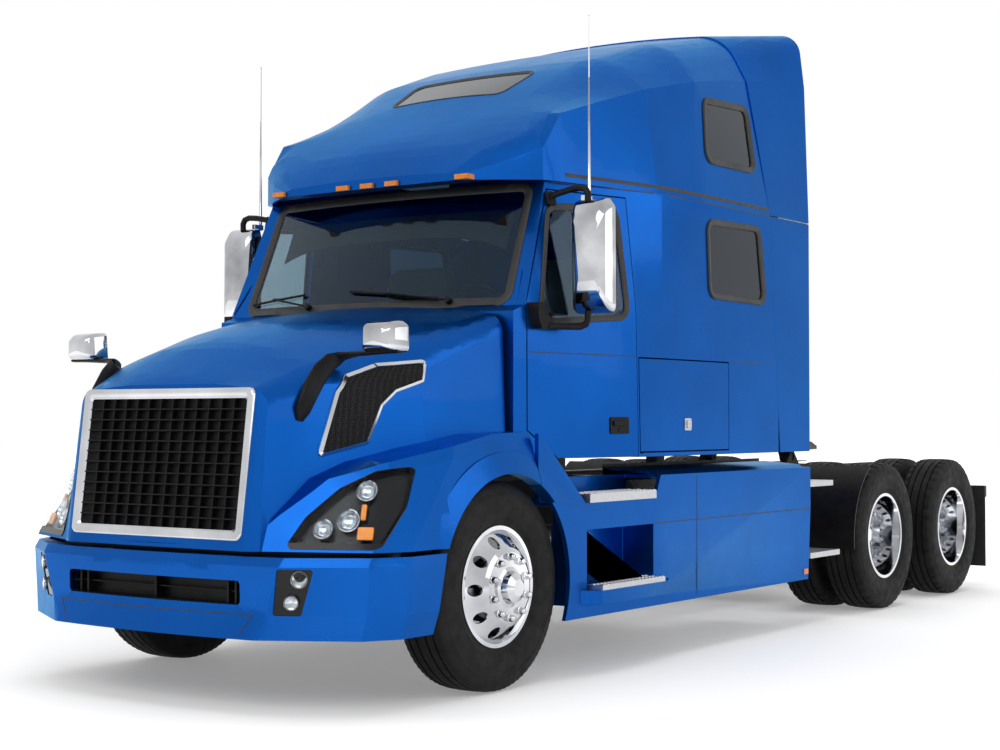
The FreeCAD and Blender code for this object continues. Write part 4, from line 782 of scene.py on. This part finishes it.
# across and radius of the outer half of a tyre, from its bead to the shoulder
SIDEWALL = [(0.112, 0.286), (0.113, 0.300), (0.118, 0.312), (0.126, 0.330), (0.130, 0.336), (0.1305, 0.344),
            (0.134, 0.362), (0.1368, 0.385), (0.1375, 0.402), (0.1368, 0.425), (0.1350, 0.444),
            (0.1362, 0.446), (0.1355, 0.452), (0.1335, 0.456), (0.130, 0.474), (0.124, 0.489),
            (0.1175, 0.5035), (0.112, 0.508)]
GROOVES, GROOVE_FLOOR = (0.076, 0.030), TYRE_RADIUS - 0.015
SHOULDER_RADIUS = 0.50
NUT_CIRCLE, NUTS = 0.150, 10
NUT = [(-0.004, 0.0), (-0.004, 0.021), (0.003, 0.021), (0.005, 0.017), (0.024, 0.016), (0.031, 0.012),
       (0.034, 0.0)]


def tyre_profile():
    """Closed section of a tyre from one bead to the other."""
    half = list(SIDEWALL)
    for groove in GROOVES:
        crown = TYRE_RADIUS - 0.4 * groove ** 2
        half += [(groove + 0.0055, crown), (groove + 0.004, GROOVE_FLOOR), (groove - 0.004, GROOVE_FLOOR),
                 (groove - 0.0055, crown)]
    return half + [(-a, r) for a, r in reversed(half)]


def tread_lathe(centre_x, y, lugs):
    """Tyre as rings of points: a drive tyre's shoulder is cut into lugs, a front tyre's is finely ribbed."""
    loops = []
    for across, radius in tyre_profile():
        loop = []
        for step, (c, s) in enumerate(circle(160)):
            reach = radius
            if radius > SHOULDER_RADIUS:
                if lugs and abs(across) > 0.078 and step % 4 == 0:
                    reach -= 0.010
                elif not lugs and abs(across) > 0.10 and step % 2 == 0:
                    reach -= 0.003
            loop.append(Vector((centre_x + across, y + reach * c, HUB_Z + reach * s)))
        loops.append(loop)
    return looped(loops, closed=True)


def nut_ring(face_x, y, sign):
    return [lathe(NUT, (sign * face_x, y + NUT_CIRCLE * c, HUB_Z + NUT_CIRCLE * s), (sign, 0, 0), 16)
            for c, s in circle(NUTS, 0.5)]


WHEELBASE, TANDEM_HALF = 5.268, 0.648
AXLES = (("forward", at(WHEELBASE - TANDEM_HALF)), ("rearward", at(WHEELBASE + TANDEM_HALF)))
# x of the middles of the tyres and of the faces under the nuts
FRONT_TYRE, DRIVE_TYRES = 1.040, (0.762, 1.105)
FRONT_FACE, DRIVE_FACE = 1.2235, 0.9455
for side, sign in SIDES:
    body = "front_wheel_" + side
    tyre = tread_lathe(sign * FRONT_TYRE, FRONT_AXLE_Y, False)
    piece("front_tyre_tread_" + side, [tyre], RUBBER, body, replaced="front_tyre_" + side, angle=32)
    piece("front_nuts_" + side, nut_ring(FRONT_FACE, FRONT_AXLE_Y, sign), ALLOY, body, angle=50)
    for axle, y in AXLES:
        name = axle + "_" + side
        body = "drive_wheel_" + name
        pair = [tread_lathe(sign * x, y, True) for x in DRIVE_TYRES]
        piece("drive_tyre_treads_" + name, pair, RUBBER, body, replaced="dual_tyres_" + name, angle=32)
        piece("drive_nuts_" + name, nut_ring(DRIVE_FACE, y, sign), ALLOY, body, angle=50)


# -------- mirrors and antennas

def tapered(rows, sign):
    """Smooth arm through oval sections: middle, half axis along the truck, half axis across it."""
    loops = []
    for (x, station, z), long_half, short_half in rows:
        middle = Vector((x, at(station), z))
        loops.append([flipped(middle + c * Vector(long_half) + s * Vector(short_half), sign)
                      for c, s in circle(14)])
    return looped(loops, capped=True)


HOOD_ARM = [((0.690, -0.935, 1.325), (0, 0.020, -0.006), (0.018, 0, 0)),
            ((0.705, -0.925, 1.375), (0, 0.042, -0.016), (0.026, 0, 0)),
            ((0.716, -0.880, 1.470), (0, 0.050, -0.024), (0.026, 0, 0)),
            ((0.722, -0.815, 1.555), (0, 0.044, -0.036), (0.026, 0, 0.002)),
            ((0.735, -0.760, 1.605), (0, 0.034, -0.034), (0.020, 0, 0.010)),
            ((0.770, -0.722, 1.630), (0, 0.032, -0.010), (0.008, 0, 0.018)),
            ((0.850, -0.712, 1.640), (0, 0.030, 0), (0, 0, 0.014)),
            ((1.000, -0.710, 1.644), (0, 0.028, 0), (0, 0, 0.010)),
            ((1.110, -0.710, 1.645), (0, 0.026, 0), (0, 0, 0.008))]


def scaled(outline, middle, wide, tall):
    """Outline drawn in towards its middle."""
    return [(middle[0] + (x - middle[0]) * wide, middle[1] + (z - middle[1]) * tall) for x, z in outline]


def crowned(outline, middle, sign, back, deep, boxy=0.3):
    """Domed shell that starts on an outline (across, height) and closes in front of it."""
    loops = []
    for share in (0.0, 0.25, 0.5, 0.68, 0.8, 0.89, 0.95, 0.99, 1.0):
        scale = (1 - share ** 2.3) ** boxy if share < 1 else 0.1
        y = at(back - deep * share)
        loops.append([Vector((sign * x, y, z)) for x, z in scaled(outline, middle, scale, scale)])
    return looped(loops, capped=True)


def sided(points, sign):
    """(x, z) points on the left or right half."""
    return [(sign * x, z) for x, z in points]


CAP = [(0.898, 1.642), (1.125, 1.642), (1.122, 1.765), (1.086, 1.790), (0.913, 1.790)]
caps, arms = [], []
for _, sign in SIDES:
    arms.append(tapered(HOOD_ARM, sign))
    caps.append(crowned(rounded_points(CAP, 0.022, 4), (1.005, 1.70), sign, -0.665, 0.125))
piece("hood_mirror_caps", caps, CHROME, "hood", replaced="hood_mirrors", angle=60)
piece("hood_mirror_arms", arms, PLASTIC, "hood", replaced="hood_mirrors", angle=60)

HEAD = [(1.140, 1.885), (1.370, 1.890), (1.378, 1.930), (1.375, 2.440), (1.340, 2.488), (1.150, 2.488),
        (1.135, 2.440)]
HIGH_ARM = [(0.985, 0.690, 2.500), (1.034, 0.700, 2.525), (1.122, 0.700, 2.542), (1.185, 0.700, 2.548),
            (1.220, 0.700, 2.538), (1.234, 0.700, 2.515), (1.234, 0.700, 2.470)]
LOW_ARM = [(1.060, 0.490, 1.822), (1.110, 0.520, 1.815), (1.190, 0.690, 1.818), (1.222, 0.700, 1.830),
           (1.233, 0.700, 1.852), (1.233, 0.700, 1.900)]
BRACKET = side_outline([(418, 1935), (470, 1940), (520, 1870), (560, 1850), (560, 1800), (450, 1800),
                        (418, 1860)])
HEAD_MIDDLE = (1.262, 2.187)
WHIP = [(2.480, 0.010), (2.530, 0.010), (2.545, 0.006), (2.70, 0.0045), (3.470, 0.0025), (3.474, 0.005),
        (3.480, 0.0)]
for side, sign in SIDES:
    body, mirror = "door_" + side, "door_mirror_" + side
    outline = rounded_points(HEAD, 0.02, 4)
    head = crowned(outline, HEAD_MIDDLE, sign, 0.745, 0.103, 0.24)
    piece("mirror_head_" + side, [head], CHROME, body, replaced=mirror, angle=60)
    rim = scaled(outline, HEAD_MIDDLE, 0.985, 1)
    black = [slab(sided(rim, sign), "Y", at(0.744), at(0.758))]
    for arm in (HIGH_ARM, LOW_ARM):
        black.append(tube([(sign * x, at(station), z) for x, station, z in arm], 0.017, 14))
    black.append(slab(BRACKET, "X", sign * 1.035, sign * 1.115))
    black.append(block_on((sign * 0.995, at(0.690), 2.500), (sign, -0.3, 0.2), 0.060, 0.075, 0.050))
    piece("mirror_arms_" + side, black, PLASTIC, body, 0.003, replaced=mirror, angle=50)
    inner = scaled(outline, HEAD_MIDDLE, 0.88, 0.94)
    pane = slab(sided(inner, sign), "Y", at(0.757), at(0.7598))
    piece("mirror_glass_" + side, [pane], LAMP_GREY, body)
    x = sign * 1.181
    whip = lathe(WHIP, (x, at(0.795), 0), (0, 0, 1), 12)
    foot = brick(x - 0.012, x + 0.012, at(0.735), at(0.808), 2.482, 2.512)
    piece("antenna_" + side, [whip, foot], SATIN, body, replaced=mirror)


# -------- wipers, handles, seams and steps

def over_glass(points, lift):
    """Line of points raised a little off the windscreen."""
    hits = [on_skin(front_skin, "Y", -1, x, z) for x, z in spread(points, 0.06)]
    return [place + normal * lift for place, normal in hits]


VALANCE_COLUMNS, VALANCE_ROWS = 24, 4


def inside_band(half, low, high, ends, deep):
    """Sheet just inside the windscreen, hanging from its top edge and deeper at the ends."""
    grid = []
    for column in range(VALANCE_COLUMNS + 1):
        x = -half + 2 * half * column / VALANCE_COLUMNS
        foot = low - ends * (x / half) ** 4
        for row in range(VALANCE_ROWS + 1):
            height = foot + (high - foot) * row / VALANCE_ROWS
            place, normal = on_skin(front_skin, "Y", -1, x, height)
            grid.append(place - normal * deep)
    line = VALANCE_ROWS + 1
    corners = [line * c + r for c in range(VALANCE_COLUMNS) for r in range(VALANCE_ROWS)]
    return grid, [(k, k + 1, k + 1 + line, k + line) for k in corners]


piece("sun_valance", [inside_band(0.80, 2.345, 2.480, 0.09, 0.055)], SEAL)
# ends of each blade and its pivot
WIPERS = (((-0.885, 1.990), (-0.450, 2.028), (-0.386, 1.952)),
          ((-0.101, 2.030), (0.500, 1.972), (0.577, 1.952)))
PIVOT = [(-0.03, 0.0), (-0.03, 0.018), (0.006, 0.018), (0.010, 0.0)]
wipers = []
for start, end, pivot in WIPERS:
    blade = over_glass([start, end], 0.014)
    arm = over_glass([pivot, tuple(Vector(start).lerp(Vector(end), 0.45))], 0.030)
    wipers += [tube(blade, 0.007, 8), tube(arm, 0.006, 8), lathe(PIVOT, arm[0], (0, -0.9, 0.4), 16),
               tube([blade[len(blade) // 2], arm[-1]], 0.006, 6)]
piece("wipers", wipers, PLASTIC, angle=50)


def seam(tree, sign, start, end, width=0.006, lift=0.0012):
    """Thin line on a side of the truck between two (station, height) points."""
    line = spread([(at(station), z) for station, z in (start, end)], 0.1)
    return strip(tree, "X", sign, line, width, lift, closed=False)


door_panels = skin_of("door_left", "door_right")
hatch_skin = skin_of("luggage_door_left", "luggage_door_right")
skirt_skin = skin_of("side_skirts")
for side, sign in SIDES:
    place, normal = on_skin(door_panels, "X", sign, at(1.095), 1.300)
    plate = block_on(place, normal, 0.150, 0.092, 0.012, 0.012)
    grip = block_on(place + normal * 0.010 + Vector((0, 0, 0.012)), normal, 0.110, 0.026, 0.014, 0.008)
    lock = block_on(place + normal * 0.007 + Vector((0, 0, -0.024)), normal, 0.026, 0.018, 0.006, 0.006)
    piece("door_handle_" + side, [plate, grip, lock], PLASTIC, "door_" + side, 0.002)
    # dark line along the door's belt crease: painted shade of the crease, which the door's shape does not
    # carry
    crease_shade_line = seam(door_panels, sign, (0.425, 1.680), (1.236, 1.680), 0.005)
    piece("door_crease_shade_line_" + side, [crease_shade_line], SEAL, "door_" + side)
    place, normal = on_skin(hatch_skin, "X", sign, at(1.782), 1.305)
    latch = [block_on(place, normal, 0.075, 0.070, 0.012, 0.008),
             block_on(place + normal * 0.010, normal, 0.045, 0.045, 0.012, 0.008)]
    piece("luggage_latch_" + side, latch, SATIN, "luggage_door_" + side, 0.002)

seams, painted_shadow_bands, markers = [], [], []
for _, sign in SIDES:
    # dark band under the roof's skirt: painted shadow of the undercut there
    painted_shadow_bands.append(seam(side_skin, sign, (0.80, 2.640), (2.83, 2.640), 0.020, 0.002))
    seams += [seam(side_skin, sign, (0.72, 2.598), (3.395, 2.598)),
              # the line at 1.68 m carries on the door's crease as painted shade; the other lines are panel
              # joints
              seam(side_skin, sign, (2.30, 1.680), (2.90, 1.680), 0.005),
              seam(skirt_skin, sign, (1.41, 0.758), (3.40, 0.758)),
              seam(skirt_skin, sign, (1.89, 0.315), (1.89, 1.015))]
    place, normal = on_skin(skirt_skin, "X", sign, at(3.33), 0.355)
    markers.append(block_on(place, normal, 0.060, 0.035, 0.012, 0.006))
SHOULDER = [(1.197, 1.008), (1.150, 1.042), (0.90, 1.062), (0.90, 1.052), (1.145, 1.032), (1.186, 1.004)]
ledges = [slab(sided(SHOULDER, sign), "Y", at(1.425), at(3.39)) for _, sign in SIDES]
piece("skirt_ledges", ledges, PAINT, width=0.003)
# black plates under the sleeper's sides: painted shade standing in for the dark underbody, closing the gap
# under the sleeper
shade_plates = [brick(*sorted((sign * 0.86, sign * 0.866)), at(1.44), at(3.38), 0.98, 1.078) for _, sign in SIDES]
piece("underbody_shade_plates", shade_plates, PLASTIC)
piece("roof_painted_shadow_bands", painted_shadow_bands, SEAL)
piece("panel_seams_and_crease_shade", seams, SEAL)
piece("side_marker_lamps", markers, AMBER, width=0.002)

# front and rear station, near and far x, and height of each tread
TREADS = ((0.735, 1.395, 1.070, 1.222, 0.943), (0.750, 1.372, 1.130, 1.290, 0.470))
GRIP = [(-0.001, 0.012), (0.0035, 0.0105), (0.0035, 0.0065), (-0.001, 0.005)]
GRIP_ROWS, GRIP_COLUMNS = 4, 18
grips = []
for _, sign in SIDES:
    for front, rear, near, far, top in TREADS:
        for row in range(GRIP_ROWS):
            x = near + (far - near) * row / (GRIP_ROWS - 1)
            for column in range(GRIP_COLUMNS):
                share = (column + 0.5 * (row % 2)) / (GRIP_COLUMNS - 0.5)
                centre = (sign * x, at(front + (rear - front) * share), top)
                grips.append(lathe(GRIP, centre, (0, 0, 1), 8))
piece("step_grips", grips, ALUMINIUM, angle=60)


# -------- seats and bunk

CUSHION_ROWS = 28


def cushion(x0, x1, y0, y1, z0, z1, square=0.32, lean=0.0):
    """Crowned pad that fills a box with rounded sides; lean shifts its top rearward."""
    middle = Vector(((x0 + x1) / 2, (y0 + y1) / 2, (z0 + z1) / 2))
    half = Vector(((x1 - x0) / 2, (y1 - y0) / 2, (z1 - z0) / 2))

    def power(value):
        return math.copysign(abs(value) ** square, value)

    loops = []
    for row in range(CUSHION_ROWS + 1):
        up = math.pi * (row / CUSHION_ROWS - 0.5)
        z = power(math.sin(up))
        ring = [(power(math.cos(up)) * power(c), power(math.cos(up)) * power(s)) for c, s in circle(48)]
        if row in (0, CUSHION_ROWS):
            ring = [(0, 0)]
        shift = lean * (z + 1) / 2
        loops.append([middle + Vector((x * half.x, y * half.y + shift, z * half.z)) for x, y in ring])
    return looped(loops)


FLOOR_TOP = 1.187
pads, stands = [], []
for x in (-0.52, 0.52):
    pads += [cushion(x - 0.25, x + 0.25, at(0.96), at(1.47), FLOOR_TOP + 0.25, FLOOR_TOP + 0.41),
             cushion(x - 0.24, x + 0.24, at(1.375), at(1.505), FLOOR_TOP + 0.38, FLOOR_TOP + 1.08,
                     lean=0.115)]
    stands.append(brick(x - 0.19, x + 0.19, at(1.01), at(1.40), FLOOR_TOP, FLOOR_TOP + 0.27))
seats = piece("seat_pads", pads, FABRIC, replaced="seats", angle=70)
piece("seat_stands", stands, PLASTIC, width=0.015, replaced="seats")
pad = cushion(-1.16, 1.16, at(2.20), at(2.945), FLOOR_TOP + 0.33, FLOOR_TOP + 0.48, square=0.22)
mattress = piece("bunk_mattress", [pad], FABRIC, replaced="bunk", angle=70)
base = [brick(-1.155, 1.155, at(2.205), at(2.235), FLOOR_TOP, FLOOR_TOP + 0.35),
        brick(-1.155, 1.155, at(2.22), at(2.945), FLOOR_TOP + 0.33, FLOOR_TOP + 0.36)]
piece("bunk_base", base, TRIM, width=0.006, replaced="bunk")


# -------- stage, lights, camera

WHITE = (1, 1, 1, 1)


def combined(tree, operation, one, two):
    node = add_node(tree, "Math", links={0: one, 1: two})
    node.operation = operation
    return node.outputs[0]


def seen_rays(tree):
    """1 for camera, glossy and transmission rays, which all see the white background."""
    rays = add_node(tree, "LightPath").outputs
    reflected = combined(tree, "MAXIMUM", rays["Is Camera Ray"], rays["Is Glossy Ray"])
    return combined(tree, "MAXIMUM", reflected, rays["Is Transmission Ray"])


def stage_floor():
    """Pale ground whose glow grows away from the truck until it meets the white background."""
    mesh = mesh_of([(-60, -60, 0), (60, -60, 0), (60, 60, 0), (-60, 60, 0)], [(0, 1, 2, 3)], "floor")
    obj = in_scene("floor", mesh)
    material, tree, shader = new_material("pale_floor")
    set_inputs(shader, {"Base Color": (0.84, 0.84, 0.84, 1), "Roughness": 0.6, "Specular IOR Level": 0.2})
    away = add_node(tree, "VectorMath", links={0: object_coords(tree)})
    away.operation = "LENGTH"
    fade = add_node(tree, "MapRange", {"From Min": 3.6, "From Max": 8.0, "To Min": 0.25, "To Max": 0.9},
                    {"Value": away.outputs["Value"]})
    strength = combined(tree, "MULTIPLY", seen_rays(tree), fade.outputs[0])
    glow = add_node(tree, "Emission", {"Color": WHITE}, {"Strength": strength})
    total = add_node(tree, "AddShader", links={0: shader.outputs[0], 1: glow.outputs[0]})
    tree.links.new(total.outputs[0], tree.nodes["Material Output"].inputs["Surface"])
    obj.data.materials.append(material)


def world_light():
    world = bpy.data.worlds.new("studio")
    bpy.context.scene.world = world
    world.use_nodes = True
    tree = world.node_tree
    tree.nodes.clear()
    soft, white = [add_node(tree, "Background", {"Color": WHITE, "Strength": strength}).outputs[0]
                   for strength in (0.45, 1.0)]
    mix = add_node(tree, "MixShader", links={"Fac": seen_rays(tree), 1: soft, 2: white})
    add_node(tree, "OutputWorld", links={"Surface": mix.outputs[0]})


def aim(obj, place, ahead):
    obj.location = place
    obj.rotation_euler = Vector(ahead).to_track_quat("-Z", "Y").to_euler()


def area_light(name, place, target, size, power, mirrored=True):
    data = bpy.data.lights.new(name, "AREA")
    data.shape = "RECTANGLE"
    data.size, data.size_y = size
    data.energy = power
    obj = in_scene(name, data)
    aim(obj, place, Vector(target) - Vector(place))
    obj.visible_glossy = mirrored


def camera():
    data = bpy.data.cameras.new("camera")
    data.sensor_width = 36.0
    data.lens = 62.13
    data.clip_end = 200
    obj = in_scene("camera", data)
    turn = math.radians(35.32)
    tilt = math.radians(-1.48)
    ahead = (-math.sin(turn) * math.cos(tilt), math.cos(turn) * math.cos(tilt), -math.sin(tilt))
    aim(obj, (6.058, -9.603, 1.332), ahead)
    bpy.context.scene.camera = obj


stage_floor()
world_light()
area_light("overhead", (0, 0, 8.5), (0, 0, 0), (7, 12), 520, mirrored=False)
area_light("key", (2.5, -10, 6.0), (0, -1, 1.2), (8, 4), 260)
area_light("side", (9.5, 0.5, 4.0), (0, 0.5, 1.6), (9, 4), 160)
camera()
bpy.context.scene.view_settings.view_transform = "Standard"
